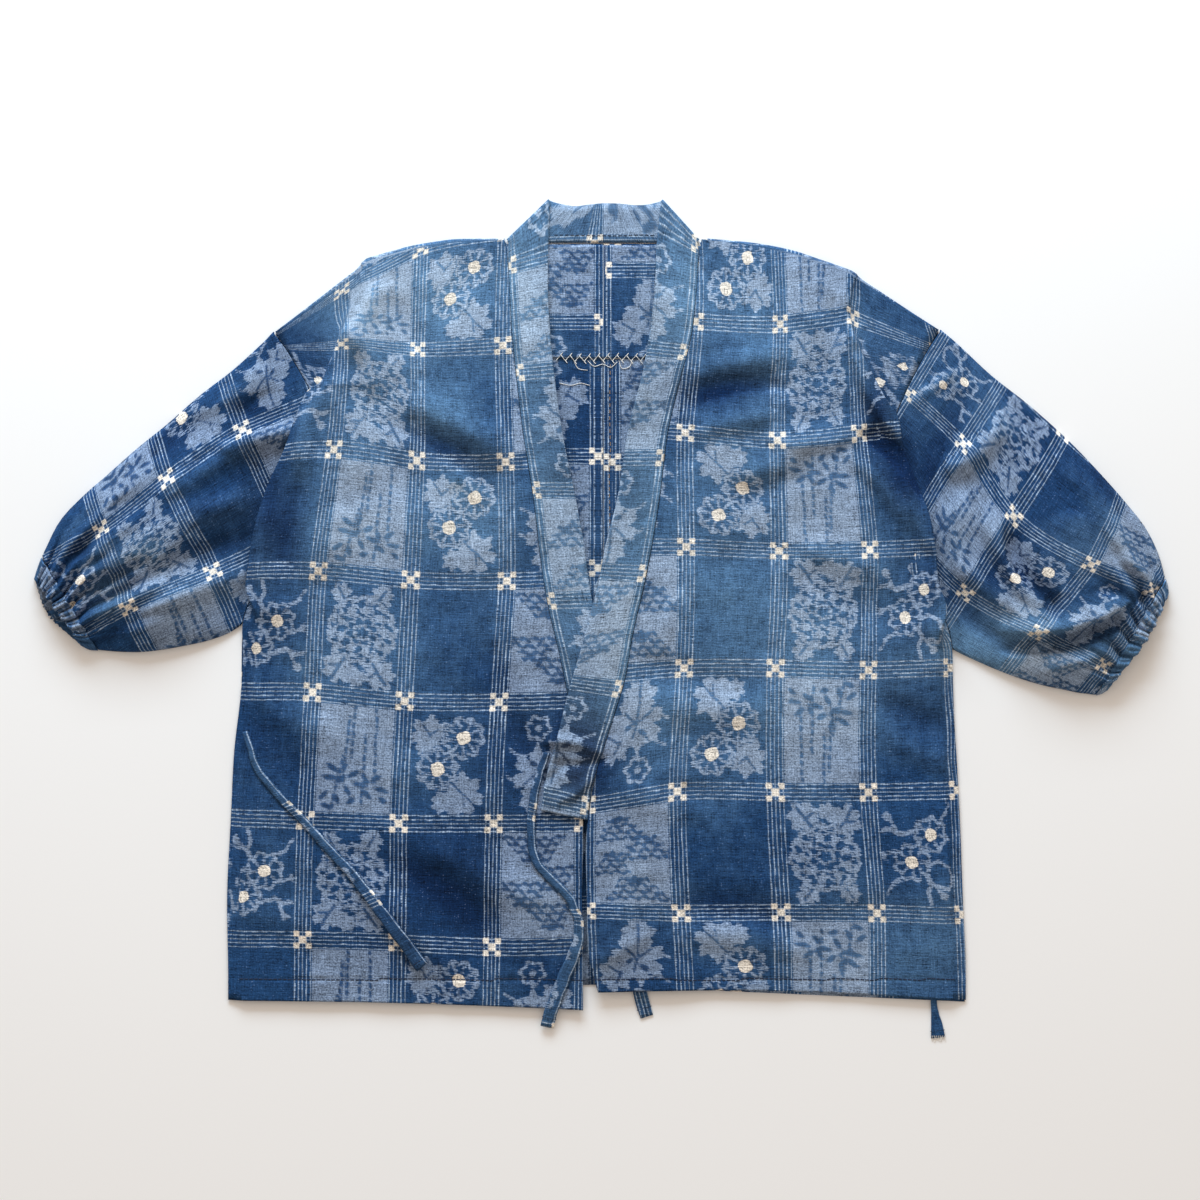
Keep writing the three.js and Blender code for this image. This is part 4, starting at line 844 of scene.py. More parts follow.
def smooth_map(knots, x, y):
    """Cloth coordinates at points of the cutting table: the least bent sheet through all the knots."""
    px, py = (np.array([k[c] for k in knots], float) for c in ("x", "y"))
    target = np.array([[k["column"] * COLUMN, k["row"] * ROW] for k in knots])

    def kernel(dx, dy):
        r2 = dx * dx + dy * dy
        return 0.5 * r2 * np.log(np.maximum(r2, 1e-9))

    n = len(knots)
    system = np.zeros((n + 3, n + 3))
    system[:n, :n] = kernel(px[:, None] - px, py[:, None] - py) + np.eye(n) * 60
    system[:n, n:] = np.stack([np.ones(n), px, py], 1)
    system[n:, :n] = system[:n, n:].T
    weights = np.linalg.solve(system, np.concatenate([target, np.zeros((3, 2))]))
    x, y = np.asarray(x, float), np.asarray(y, float)
    uv = weights[n] + x[..., None] * weights[n + 1] + y[..., None] * weights[n + 2]
    for k in range(n):
        uv = uv + kernel(x - px[k], y - py[k])[..., None] * weights[k]
    return uv


def lengths_along(points, axis):
    steps = np.linalg.norm(np.diff(points, axis=axis), axis=-1)
    zero = np.zeros_like(np.take(steps, [0], axis))
    return np.concatenate([zero, np.cumsum(steps, axis)], axis)


# a crossing of the check inside each back: x, y, its row line, and which way the rows count
BACK_CROSSINGS = {"body_right": (598, 456, 4, 1), "body_left": (612, 462, 2, -1)}
CLOTH_ACROSS = 1.03                 # millimetres of cloth across a millimetre of table, inside the back
BACK_ROW = 112                      # how much of the table a row of checks takes up there
LINING_DOWN = 1.1                   # millimetres of cloth down a millimetre of table, on the lining


def body_uv(name, grid, front_rows):
    """The fronts go by the knots up to the crest of the roll, and on from there by length. The back goes by
    one crossing of its check."""
    uv = np.zeros(grid.shape[:2] + (2,))
    crest = roll_from + TURN_CELLS // 2
    x, y = table_xy(grid[:front_rows, NECK_CELLS:crest + 1])
    uv[:front_rows, NECK_CELLS:crest + 1] = smooth_map(CLOTH_KNOTS[name], x, y)
    beyond = lengths_along(grid[:front_rows, crest:], 1)
    uv[:front_rows, crest:, 0] = uv[:front_rows, crest, 0][:, None] + beyond
    uv[:front_rows, crest:, 1] = uv[:front_rows, crest, 1][:, None]
    back = grid[front_rows:]
    x, y = table_xy(back)
    line_x, line_y, row, sense = BACK_CROSSINGS[name]
    uv[front_rows:, :, 0] = np.abs(x - line_x) * CLOTH_ACROSS
    uv[front_rows:, :, 1] = row * ROW + sense * (line_y - y) * ROW / BACK_ROW
    return uv


def sleeve_uv(name, rings):
    x, y = table_xy(rings[:, :HALF_POINTS + 1])
    uv = np.zeros(rings.shape[:2] + (2,))
    upper = smooth_map(CLOTH_KNOTS[name], x, y)
    uv[:, :HALF_POINTS + 1] = upper
    under = HALF_POINTS + EDGE_POINTS - 1
    uv[:, HALF_POINTS + 1:under + 1] = upper[:, -1:]
    back = slice(under + 1, under + 2 + HALF_POINTS)
    uv[:, back, 0] = upper[:, ::-1, 0]
    lower = rings[:, back]
    uv[:, back, 1] = upper[:, :1, 1] + lengths_along(lower[:, ::-1], 1)[:, ::-1]
    uv[:, under + 2 + HALF_POINTS:] = upper[:, :1]
    return np.concatenate([uv, uv[:, :1]], 1)


# Where the rows of the check cross the seam of the collar, by the height on the table, for each part of it
COLLAR_LEFT_ROWS = [[806, 0], [688, 1], [573, 2], [458, 3], [352, 4], [246, 5]]
COLLAR_RIGHT_ROWS = [[267, 7], [373, 8], [490, 9], [600, 10], [716, 11], [800, 11.75]]


def collar_uv(grid):
    seam = grid[:, -1]
    x, y = table_xy(seam)
    s = lengths_along(seam[None], 1)[0]
    first, last = len(left_band), len(grid) - len(right_band)
    knots = [(s[:first][np.argmin(np.abs(y[:first] - h))], row) for h, row in COLLAR_LEFT_ROWS]
    middle = np.argmin(np.abs(x[first:last] - 594)) + first
    knots.append((s[middle], 6))
    knots += [(s[last:][np.argmin(np.abs(y[last:] - h))], row) for h, row in COLLAR_RIGHT_ROWS]
    ks, kr = np.array(sorted(knots)).T
    v = np.interp(s, ks, kr) * ROW
    v[s < ks[0]] = kr[0] * ROW - (ks[0] - s[s < ks[0]])
    across = lengths_along(grid[:, ::-1], 1)[:, ::-1]
    return np.stack([COLUMN - 1 - across, np.broadcast_to(v[:, None], across.shape)], -1)


def lining_uv(grid):
    x, y = table_xy(grid)
    beyond = x > LINING_MIDDLE
    u = np.where(beyond, (x - LINING_MIDDLE) * CLOTH_ACROSS, (LINING_MIDDLE - x) * CLOTH_ACROSS)
    v = np.where(beyond, (y - 270) * LINING_DOWN, (322 - y) * LINING_DOWN + ROW)
    return np.stack([u, v + 4 * ROW], -1)


def strip_uv(grid, u0, v0):
    return np.stack([u0 + lengths_along(grid, 1), v0 + lengths_along(grid, 0)], -1)


# The figures woven into the checks
# Distances are in millimetres from the middle of a check, x across the cloth and y along it. Each shape
# gives how deep a point lies inside it, negative outside.
def disc(x, y, cx, cy, rx, ry=None, turn=0.0, points=0, depth=0.0, start=0.0):
    """An ellipse; with points, its rim is scalloped or toothed that many times."""
    ry = rx if ry is None else ry
    c, s = math.cos(math.radians(turn)), math.sin(math.radians(turn))
    a, b = (x - cx) * c + (y - cy) * s, (y - cy) * c - (x - cx) * s
    r = np.hypot(a / rx, b / ry)
    rim = 1.0
    if points:
        angle = np.arctan2(b / ry, a / rx) + math.radians(start)
        rim = 1 + depth * (2 * np.abs(np.sin(0.5 * points * angle)) - 1)
    return (rim - r) * min(rx, ry)


def stroke(x, y, spots, w0, w1=None):
    """A line through spots, w0 wide at its start and w1 at its end."""
    w1 = w0 if w1 is None else w1
    best = np.full(np.shape(x), -99.0)
    count = len(spots) - 1
    for k in range(count):
        (ax, ay), (bx, by) = spots[k], spots[k + 1]
        dx, dy = bx - ax, by - ay
        f = np.clip(((x - ax) * dx + (y - ay) * dy) / (dx * dx + dy * dy), 0, 1)
        width = lerp(w0, w1, (k + f) / count) / 2
        best = np.maximum(best, width - np.hypot(x - ax - f * dx, y - ay - f * dy))
    return best


def both(*shapes):
    return np.minimum.reduce(shapes)


def either(*shapes):
    return np.maximum.reduce(shapes)


def strokes(x, y, *lines):
    """Several lines, each given by its spots and its widths."""
    return either(*(stroke(x, y, *line) for line in lines))


def discs(x, y, *rows):
    return either(*(disc(x, y, *row) for row in rows))


def star_leaves(x, y, *rows):
    return either(*(star_leaf(x, y, *row) for row in rows))


def on_ellipse(cx, cy, rx, ry, a):
    return cx + rx * math.cos(a), cy + ry * math.sin(a)


def star_leaf(x, y, cx, cy, r, turn, seed):
    """A broad leaf with uneven teeth, like a maple's."""
    a = np.arctan2(y - cy, x - cx) - math.radians(turn)
    teeth = np.abs(np.sin(a * 3.5 + seed)) * 0.42 + 0.22 * np.abs(np.sin(a * 8 + seed * 2.3))
    return (0.66 + teeth - np.hypot(x - cx, y - cy) / r) * r * 0.8


def plum_flower(x, y, cx, cy, r, petals, start):
    """A blossom: the scalloped outline of its petals, a ray between each two, and a pale middle."""
    rim = disc(x, y, cx, cy, r, points=petals, depth=0.1, start=start)
    light = both(rim, -(rim - 3.2))
    for k in range(petals):
        a = math.radians(start + 360 * k / petals)
        ray = [on_ellipse(cx, cy, share * r, share * r, a) for share in (0.42, 0.84)]
        light = either(light, stroke(x, y, ray, 1.9, 3.2))
    return light, rim, disc(x, y, cx, cy, 0.34 * r, points=4, depth=0.06, start=20)


NONE = -9.0


# Each figure gives how deep points of its check lie inside its light, its dark and its pale parts
def blossoms(x, y):
    light1, rim1, pale1 = plum_flower(x, y, 11, -6, 20, 9, 10)
    light2, rim2, pale2 = plum_flower(x, y, -14, 25, 20, 9, 30)
    leaf1, leaf2 = star_leaf(x, y, -13, -32, 19, 20, 0.4), star_leaf(x, y, 20, 27, 17, 200, 1.7)
    leaf3 = star_leaf(x, y, 6, -39, 9, 80, 2.2)
    veins = strokes(x, y, ([(-24, -40), (-12, -28), (-4, -20)], 1.6), ([(27, 38), (19, 27)], 1.8),
                    ([(-16, -44), (-15, -31)], 1.4), ([(12, 34), (20, 26)], 1.6))
    flowers = either(rim1, rim2)
    leaves = both(either(leaf1, leaf2, leaf3), -(flowers + 1.6))
    return either(light1, both(light2, -rim1), leaves), both(veins, -flowers), either(pale1, pale2)


def peony(x, y):
    bloom = disc(x, y, -1, 5, 34, 33, points=13, depth=0.07, start=4)
    light = both(bloom, -disc(x, y, -1, 5, 30, 29, points=13, depth=0.08, start=4))
    for r, points, start, cy in ((25.5, 10, 20, 4), (17, 8, 40, 4), (9, 5, 10, 3)):
        rim = disc(x, y, -1, cy, r, r * 0.92, points=points, depth=0.15, start=start)
        light = either(light, both(rim, -(rim - 3.1)))
    for k in range(13):
        a = math.radians(14 + 360 * k / 13)
        rib = [on_ellipse(-1, 5, 29, 28, a), on_ellipse(-1, 5, 33, 32, a + 0.1)]
        light = either(light, stroke(x, y, rib, 3.6, 5.2))
    leaves = star_leaves(x, y, (-20, -37, 14, 60, 0.3), (22, -33, 14, 120, 1.1), (-20, 42, 10, 240, 2.0),
                         (21, 40, 9, 300, 0.8), (3, -42, 8, 90, 1.9))
    veins = strokes(x, y, ([(-27, -46), (-20, -37), (-13, -27)], 2.6),
                    ([(28, -45), (22, -34), (15, -24)], 2.6), ([(-10, -40), (-19, -34)], 2.2),
                    ([(31, -32), (21, -31)], 2.2),
                    ([(-24, 47), (-17, 37)], 2.2), ([(24, 46), (18, 36)], 2.0))
    outside = both(leaves, -(bloom + 1.2))
    petals = both(disc(x, y, -1, 5, 22, 21, points=9, depth=0.2, start=0),
                  -disc(x, y, -1, 5, 19.5, 18, points=9, depth=0.2, start=20))
    return either(light, outside, petals), both(veins, -bloom), NONE


def branches(x, y):
    light1, rim1, pale1 = plum_flower(x, y, 14, -18, 17, 7, 10)
    light2, rim2, pale2 = plum_flower(x, y, -7, 9, 18.5, 8, 40)
    rims = either(rim1, rim2)
    wood = strokes(x, y, ([(-38, -22), (-27, -24), (-18, -19), (-2, -23)], 3.4, 3.0),
                   ([(24, -30), (31, -38), (37, -50)], 2.4, 1.8), ([(27, -12), (37, -16)], 2.2),
                   ([(6, 17), (12, 30), (8, 38), (12, 51)], 4.2, 2.4),
                   ([(8, 12), (20, 8), (32, 14), (37, 27), (31, 35), (20, 32)], 2.4, 2.6),
                   ([(-16, 24), (-28, 30), (-35, 41)], 2.4, 2.0), ([(14, 30), (24, 40)], 2.2),
                   ([(-23, -2), (-35, 2)], 2.2), ([(-22, -22), (-28, -36)], 2.2))
    buds = discs(x, y, (-30, -37, 4.4, 3.6), (26, 42, 4), (-36, 3, 3.4, 4), (34, -50, 3.4))
    return either(light1, light2, both(wood + 0.5, -rims), buds), NONE, either(pale1, pale2)


def spray(x, y):
    leaf = star_leaf(x, y, 4, -38, 14, 80, 0.9)
    middle = star_leaves(x, y, (2, -12, 22, 10, 0.2), (-20, 6, 15, 150, 1.3))
    rim = disc(x, y, 5, 34, 12.5, points=6, depth=0.16, start=20)
    flower = both(rim, -(rim - 3.4))
    stems = strokes(x, y, ([(-8, 2), (8, 8), (20, 6), (33, 12)], 2.8, 2.2),
                    ([(-28, 20), (-16, 10), (-4, -2)], 3, 2.6), ([(4, 14), (5, 24)], 2.8),
                    ([(12, -8), (26, -18), (34, -14)], 3.0, 2.2))
    heart = disc(x, y, 5, 34, 3.4)
    veins = strokes(x, y, ([(4, -48), (4, -30), (2, -12), (-2, 2)], 2.2), ([(-10, -22), (2, -10)], 2.2),
                    ([(17, -22), (4, -12)], 2.2), ([(-28, -2), (-14, 6)], 2.0), ([(-20, 16), (-14, 4)], 2.0))
    eyes = discs(x, y, (8, -2, 4.5, 2.6, 30), (-6, -8, 4, 2.2, -40))
    return either(leaf, middle, flower, stems, heart), either(veins, eyes), NONE


def pine(x, y):
    """Clouds of needles, drawn dark on the light check."""
    dark = np.full(np.shape(x), -99.0)
    rows = 4
    for cx, top, width, lean in ((-14, -43, 27, 0.5), (12, -21, 30, 0.3), (-20, -6, 20, -0.2),
                                 (2, 22, 34, 0.4)):
        for k in range(rows):
            half = width * (0.3 + 0.7 * (k + 1) / rows)
            mid = cx + lean * k * 3
            scallops = 2.7 * np.abs(np.sin(np.pi * (x - mid) / 12.5 + k * 1.57))
            line = top + 6.9 * k + scallops + 0.012 * (x - mid) ** 2 * (1 - k / rows)
            arc = 1.5 + 0.7 * np.sin((x + 3 * k) * 0.9) - np.abs(y - line)
            dark = either(dark, both(arc, half - np.abs(x - mid)))
    blobs = discs(x, y, (-14, -41, 6, 3), (4, 26, 7, 3), (18, -14, 5, 2.4), (-20, -2, 4.4, 2.2))
    return NONE, either(dark, blobs), NONE


def bamboo(x, y):
    """Jointed stems and short leaves, drawn dark on the light check."""
    dark = np.full(np.shape(x), -99.0)
    for x0, y0, x1, y1 in ((-21, -24, -20, 50), (-9, -46, -10, 24), (3, 2, 2, 50), (11, -22, 7, 40),
                           (22, -50, 12, 4)):
        length = math.hypot(x1 - x0, y1 - y0)
        along = ((x - x0) * (x1 - x0) + (y - y0) * (y1 - y0)) / length
        joints = 3.4 - np.abs((along + 50) % 8.5 - 4.25) * 1.15
        dark = either(dark, both(stroke(x, y, [(x0, y0), (x1, y1)], 2.7), joints))
    for cx, cy, turn, size in ((-28, -28, 10, 5.4), (-22, -18, -35, 5), (-14, -33, 40, 5), (-6, -24, 15, 5.4),
                               (0, -14, -30, 5), (6, -30, 60, 5), (14, -20, -20, 6), (24, -18, 12, 6.6),
                               (30, -35, -40, 5), (22, -9, 35, 6), (10, -8, -62, 4.4), (-12, -20, 70, 4.4),
                               (27, -46, 20, 4.6), (-30, -38, 40, 3.8), (2, -40, -20, 4.4),
                               (17, -38, 65, 4.6)):
        dark = either(dark, disc(x, y, cx, cy, size * 1.12, 2.4, turn))
    return NONE, dark, NONE


# which figure a column of the check has, in its even rows (0) and in its odd rows (1)
FIGURES = {(0, 0): spray, (1, 0): blossoms, (2, 0): bamboo, (0, 1): pine, (2, 1): peony, (3, 1): branches}
FIGURE_MARGIN = 9.5                 # room for the stripes between a figure and the line of its check


def woven_figures(uv):
    """Light, dark and pale figures at points of the cloth, as depths in millimetres. Each point's row is kept
    as a colour, whose fourth number has no use."""
    u, v = uv[:, 0], uv[:, 1]
    column, row = np.floor(u / COLUMN), np.floor(v / ROW)
    x, y = u - (column + 0.5) * COLUMN, v - (row + 0.5) * ROW
    wander = 0.8 * noise(u, v, 9, 21)
    x, y = x + wander, y + 0.7 * noise(u, v, 11, 22)
    depths = np.full((len(uv), 4), NONE)
    for (c, r), figure in FIGURES.items():
        mine = (column % 4 == c) & (row % 2 == r)
        if mine.any():
            for k, depth in enumerate(figure(x[mine], y[mine])):
                depths[mine, k] = depth
    room = np.minimum(COLUMN / 2 - FIGURE_MARGIN - np.abs(x), ROW / 2 - FIGURE_MARGIN - np.abs(y))
    return np.clip(np.minimum(depths, room[:, None]), -6, 6)


# Wear and painted light: where the cloth is faded, stained or still dark, with painted shade along folds and
# on slopes turned from the light, and painted light on some shaded slopes
SPOT_COLUMNS = ["x", "y", "across", "down", "amount"]
# faded cloth, and painted light on the lower slopes of the sleeves, which face away from the window
FADED_AND_LIT_SPOTS = table(SPOT_COLUMNS, [
    [400, 290, 80, 60, 0.75], [370, 420, 70, 110, 0.3], [455, 420, 60, 70, 0.35], [470, 520, 55, 60, 0.45],
    [345, 520, 60, 60, 0.45], [760, 360, 130, 90, 0.4], [690, 620, 110, 90, 0.42],
    [830, 610, 110, 110, 0.35], [740, 480, 90, 70, 0.35], [840, 720, 90, 70, 0.3], [640, 720, 60, 60, 0.35],
    [900, 950, 90, 60, 0.4], [200, 580, 60, 40, 0.15], [528, 330, 30, 100, 0.25], [680, 300, 30, 80, 0.15],
    [1000, 642, 60, 35, 0.8], [1000, 420, 60, 60, 0.15], [1070, 545, 50, 40, 0.4], [340, 650, 70, 60, 0.3],
    [280, 880, 60, 60, 0.2], [480, 300, 50, 60, 0.35], [720, 280, 60, 50, 0.35], [500, 640, 60, 80, 0.1],
    [1020, 620, 70, 40, 0.1], [112, 592, 26, 20, 0.85], [150, 562, 28, 24, 0.6], [1110, 650, 50, 40, 0.3],
    [1010, 655, 70, 30, 0.4]])
# painted shade: most of these dark spots lie in fold valleys, under ridges and on slopes turned from the
# light; some are unfaded indigo
SHADE_AND_DARK_SPOTS = table(SPOT_COLUMNS, [
    [575, 765, 34, 46, 0.45], [470, 870, 90, 70, 0.7], [520, 730, 60, 80, 0.5], [280, 760, 60, 90, 0.35],
    [460, 640, 60, 60, 0.25], [250, 500, 30, 90, 0.4], [725, 395, 50, 22, 0.5], [440, 452, 45, 22, 0.45],
    [900, 470, 40, 50, 0.5], [740, 860, 70, 50, 0.3], [740, 915, 70, 26, 0.35], [920, 720, 50, 60, 0.25],
    [880, 400, 30, 60, 0.35], [110, 560, 60, 60, 0.15], [1080, 520, 50, 60, 0.3], [1010, 640, 70, 40, 0.1],
    [620, 960, 50, 50, 0.35], [545, 980, 50, 40, 0.3], [150, 450, 70, 40, 0.25], [1040, 450, 70, 40, 0.45],
    [300, 340, 30, 30, 0.35], [410, 960, 60, 50, 0.4], [600, 330, 70, 90, 0.12], [600, 450, 40, 90, 0.45],
    [284, 530, 26, 60, 0.7], [590, 745, 40, 70, 0.6], [873, 415, 16, 45, 0.5], [903, 478, 18, 40, 0.5],
    [928, 560, 14, 60, 0.4], [318, 372, 14, 26, 0.3], [268, 470, 14, 60, 0.35], [672, 395, 20, 50, 0.4],
    [1000, 567, 45, 40, 0.7], [200, 510, 30, 24, 0.5]])
STAIN_SPOTS = table(SPOT_COLUMNS, [
    [490, 268, 22, 18, 0.5], [455, 484, 12, 10, 0.55], [477, 490, 22, 26, 0.8], [400, 560, 34, 12, 0.25],
    [838, 306, 26, 16, 0.6], [880, 500, 16, 26, 0.35], [835, 372, 18, 20, 0.3], [735, 462, 26, 20, 0.4],
    [808, 492, 30, 16, 0.3], [640, 860, 30, 12, 0.4], [635, 540, 20, 60, 0.35], [352, 300, 30, 26, 0.5],
    [300, 660, 22, 16, 0.35], [270, 640, 26, 26, 0.3], [205, 500, 40, 26, 0.12], [470, 690, 40, 30, 0.2],
    [1030, 480, 40, 26, 0.25], [640, 310, 18, 30, 0.35], [640, 400, 16, 30, 0.5], [560, 440, 18, 40, 0.4],
    [540, 560, 14, 40, 0.35], [245, 380, 30, 14, 0.3], [330, 830, 26, 20, 0.25], [958, 640, 8, 40, 0.3],
    [755, 690, 30, 20, 0.25], [845, 870, 30, 20, 0.25], [620, 640, 14, 50, 0.4]])

RUBBED_AND_LIT, HOLLOW_SHADE = 0.025, 0.06        # share of fading on ridges (rubbed wear and painted light) and of painted shade in hollows, for each millimetre of a fold


def spotted(spots, x, y):
    total = np.zeros(np.shape(x))
    for s in spots:
        total += s["amount"] * np.exp(-((x - s["x"]) / s["across"]) ** 2 - ((y - s["y"]) / s["down"]) ** 2)
    return total


def worn_and_shaded(places, creases):
    """Faded, dark and stained shares at points. Ridges are painted paler, partly as rubbed wear and partly as
    painted light, and hollows are painted darker as painted shade.
    """
    x, y = table_xy(places)
    fold = np.clip(creased(creases, x, y), -7, 7) if creases else 0 * x
    broad = 0.14 * noise(x, y, 130, 31) + 0.1 * noise(x, y, 45, 32)
    blotch = np.maximum(noise(x, y, 30, 33) * noise(x, y, 13, 34), 0)
    # painted light on crease ridges and painted shade in crease hollows, from the height of the creases
    return np.stack([spotted(FADED_AND_LIT_SPOTS, x, y) + broad + RUBBED_AND_LIT * np.maximum(fold, 0),
                     spotted(SHADE_AND_DARK_SPOTS, x, y) - broad * 0.5 - HOLLOW_SHADE * np.minimum(fold, 0),
                     spotted(STAIN_SPOTS, x, y) * (0.6 + 0.5 * noise(x, y, 9, 35)) + 0.35 * blotch], -1)


def weave_in(piece, uv_at_points, creases=None):
    """Keeps the woven figures, and the fading, staining and painted light and shade, of a piece on its
    points, for its material to read.
    """
    mesh = piece.data
    figures = mesh.attributes.new("figures", "FLOAT_COLOR", "POINT")
    figures.data.foreach_set("color", woven_figures(uv_at_points).astype(np.float32).ravel())
    places = np.empty(len(mesh.vertices) * 3, np.float32)
    mesh.vertices.foreach_get("co", places)
    wear_light_and_shade = mesh.attributes.new("wear_light_and_shade", "FLOAT_VECTOR", "POINT")
    wear_light_and_shade.data.foreach_set("vector", worn_and_shaded(places.reshape(-1, 3) / MM, creases).astype(np.float32).ravel())


# The pieces
right_grid, right_here, right_rows, right_fine = body(SIDES["right"], RIGHT_FRONT, RIGHT_BACK)
left_grid, left_here, left_rows, left_fine = body(SIDES["left"], LEFT_FRONT, LEFT_BACK)
roll_from = NECK_CELLS + TOP_COLUMNS - 1


def body_piece(name, grid, here, front_rows, fine_back):
    cols = grid.shape[1]
    kept_c = sorted(set(range(0, NECK_CELLS + 1, 4)) | set(range(NECK_CELLS, roll_from, 4))
                    | set(range(roll_from, cols)))
    back_from = front_rows + SHOULDER_STEPS
    back_to = back_from + fine_back
    kept_r = (marks(front_rows, 4) + list(range(front_rows, back_from))
              + list(range(back_from, back_to, 4)) + list(range(back_to, len(grid))))
    piece, uv = wall_mesh(name, grid, CLOTH, body_uv(name, grid, front_rows), kept_r, kept_c,
                          lambda i, j: i < front_rows - 1 and j < roll_from + TURN_CELLS,
                          lambda i, j: back_from <= i < back_to and j < NECK_CELLS, here)
    weave_in(piece, uv, FRONT_CREASES)
    return piece


body_right = body_piece("body_right", right_grid, right_here, right_rows, right_fine)
body_left = body_piece("body_left", left_grid, left_here, left_rows, left_fine)


def seam_column(grid, front_rows, side):
    """Where the front meets the sleeve, from the shoulder to the underarm, on the cutting table."""
    line = np.stack(table_xy(grid[:front_rows, -1]), 1)
    return line[line[:, 1] <= side["under"][1] + 1]


def sleeve_piece(name, side, rows, grid, front_rows):
    rings = sleeve(side, rows, seam_column(grid, front_rows, side))
    piece, uv = wall_mesh(name, rings, CLOTH, sleeve_uv(name, rings), fine=lambda i, j: j < HALF_POINTS,
                          round_=True)
    weave_in(piece, uv, SLEEVE_CREASES)
    return piece


sleeve_right = sleeve_piece("sleeve_right", SIDES["right"], SLEEVES["right"], right_grid, right_rows)
sleeve_left = sleeve_piece("sleeve_left", SIDES["left"], SLEEVES["left"], left_grid, left_rows)


def simple_piece(name, grid, wall, uv, **how):
    piece, at_points = wall_mesh(name, grid, wall, uv, **how)
    weave_in(piece, at_points)
    return piece


CUFF_CLOTH = {"right": (100, 30), "left": (-20, 150)}      # where on the woven cloth each cuff was cut
cuff_pieces = []
for name in ("right", "left"):
    rings = cuff(SIDES[name], CUFFS[name], *LIPS[name])
    cuff_uv = strip_uv(np.concatenate([rings, rings[:, :1]], 1), *CUFF_CLOTH[name])
    cuff_pieces.append(simple_piece("cuff_" + name, rings, CUFF, cuff_uv, round_=True))
collar = simple_piece("collar", collar_grid, BAND, collar_uv(collar_grid))
lining_grid = lining()
yoke_lining = simple_piece("yoke_lining", lining_grid, LINING, lining_uv(lining_grid))

step = slice(None, None, 4)
layers = [(g[step, step], h[step, step][:len(g[step]) - 1, :g[:, step].shape[1] - 1], w)
          for g, h, w in ((right_grid, right_here, CLOTH), (left_grid, left_here, CLOTH),
                          (collar_grid, np.ones((collar_grid.shape[0] - 1, BAND_CELLS), bool), BAND))]
TIE_CLOTH = {"tie_side_right": (100.5, 150), "tie_front_left": (100.5, 60), "tie_front_right": (90, 0),
             "tie_side_left": (300, 20)}
tie_pieces, tie_strips = [], []
for name, rows in TIES.items():
    strip = tie(rows, layers if rows[0]["z"] is None else ())
    tie_strips.append(strip)
    tie_pieces.append(simple_piece(name, strip, TIE, strip_uv(strip, *TIE_CLOTH[name]),
                                   rows_kept=marks(len(strip), 2), cols_kept=marks(TIE_CELLS + 1, 2)))

pieces = [body_right, body_left, sleeve_right, sleeve_left, *cuff_pieces, collar, yoke_lining, *tie_pieces]

# Materials
def linear(r, g, b):
    """A colour from 0 to 255 as light, with full alpha."""
    return tuple(((c / 255 + 0.055) / 1.055) ** 2.4 if c > 10 else c / 3295 for c in (r, g, b)) + (1.0,)


def new_material(name):
    material = bpy.data.materials.new(name)
    material.use_nodes = True
    return material, material.node_tree, material.node_tree.nodes["Principled BSDF"]


def add_node(tree, kind, inputs=(), **settings):
    """A node with its settings made first, and then each input joined to a socket or given a value."""
    made = tree.nodes.new("ShaderNode" + kind)
    for setting, value in settings.items():
        setattr(made, setting, value)
    for slot, value in dict(inputs).items():
        value = value.socket if isinstance(value, Field) else value
        if isinstance(value, bpy.types.NodeSocket):
            tree.links.new(value, made.inputs[slot])
        else:
            made.inputs[slot].default_value = value
    return made


class Field:
    """A number that varies over the cloth, so that a material can be written as sums."""

    def __init__(self, tree, socket):
        self.tree, self.socket = tree, socket

    def node(self, operation, *values):
        made = add_node(self.tree, "Math", enumerate(values), operation=operation)
        return Field(self.tree, made.outputs[0])

    def __add__(self, other):
        return self.node("ADD", self, other)

    def __sub__(self, other):
        return self.node("SUBTRACT", self, other)

    def __rsub__(self, other):
        return self.node("SUBTRACT", other, self)

    def __mul__(self, other):
        return self.node("MULTIPLY", self, other)

    __radd__ = __add__

    def abs(self):
        return self.node("ABSOLUTE", self)

    def floor(self):
        return self.node("FLOOR", self)

    def mod(self, size):
        return self.node("FLOORED_MODULO", self, size)

    def max(self, other):
        return self.node("MAXIMUM", self, other)

    def clamped(self, scale=1.0, offset=0.0):
        made = self.node("MULTIPLY_ADD", self, scale, offset)
        made.socket.node.use_clamp = True
        return made

    def over(self, size):
        """From 0 to 1 as the depth inside an edge grows over that size."""
        return self.clamped(1 / size, 0.5)


def blend(tree, share, a, b):
    """Colour a with b over it where the share is 1. Colours are tuples or sockets."""
    return add_node(tree, "Mix", {0: share, 6: a, 7: b}, data_type="RGBA").outputs[2]


def cloth_noise(tree, u, v, across, along, detail=0.0, offset=0.0):
    """Noise from -1 to 1 on the cloth, with bumps of that many millimetres."""
    place = add_node(tree, "CombineXYZ", {0: u * (1 / across) + offset, 1: v * (1 / along)}).outputs[0]
    made = add_node(tree, "TexNoise", {"Scale": 1.0, "Detail": detail, "Vector": place},
                    noise_dimensions="2D")
    return Field(tree, made.outputs[0]) * 2 - 1


STAIN = (0.62, 0.47, 0.3, 1)        # brown that darkens the cloth under a stain


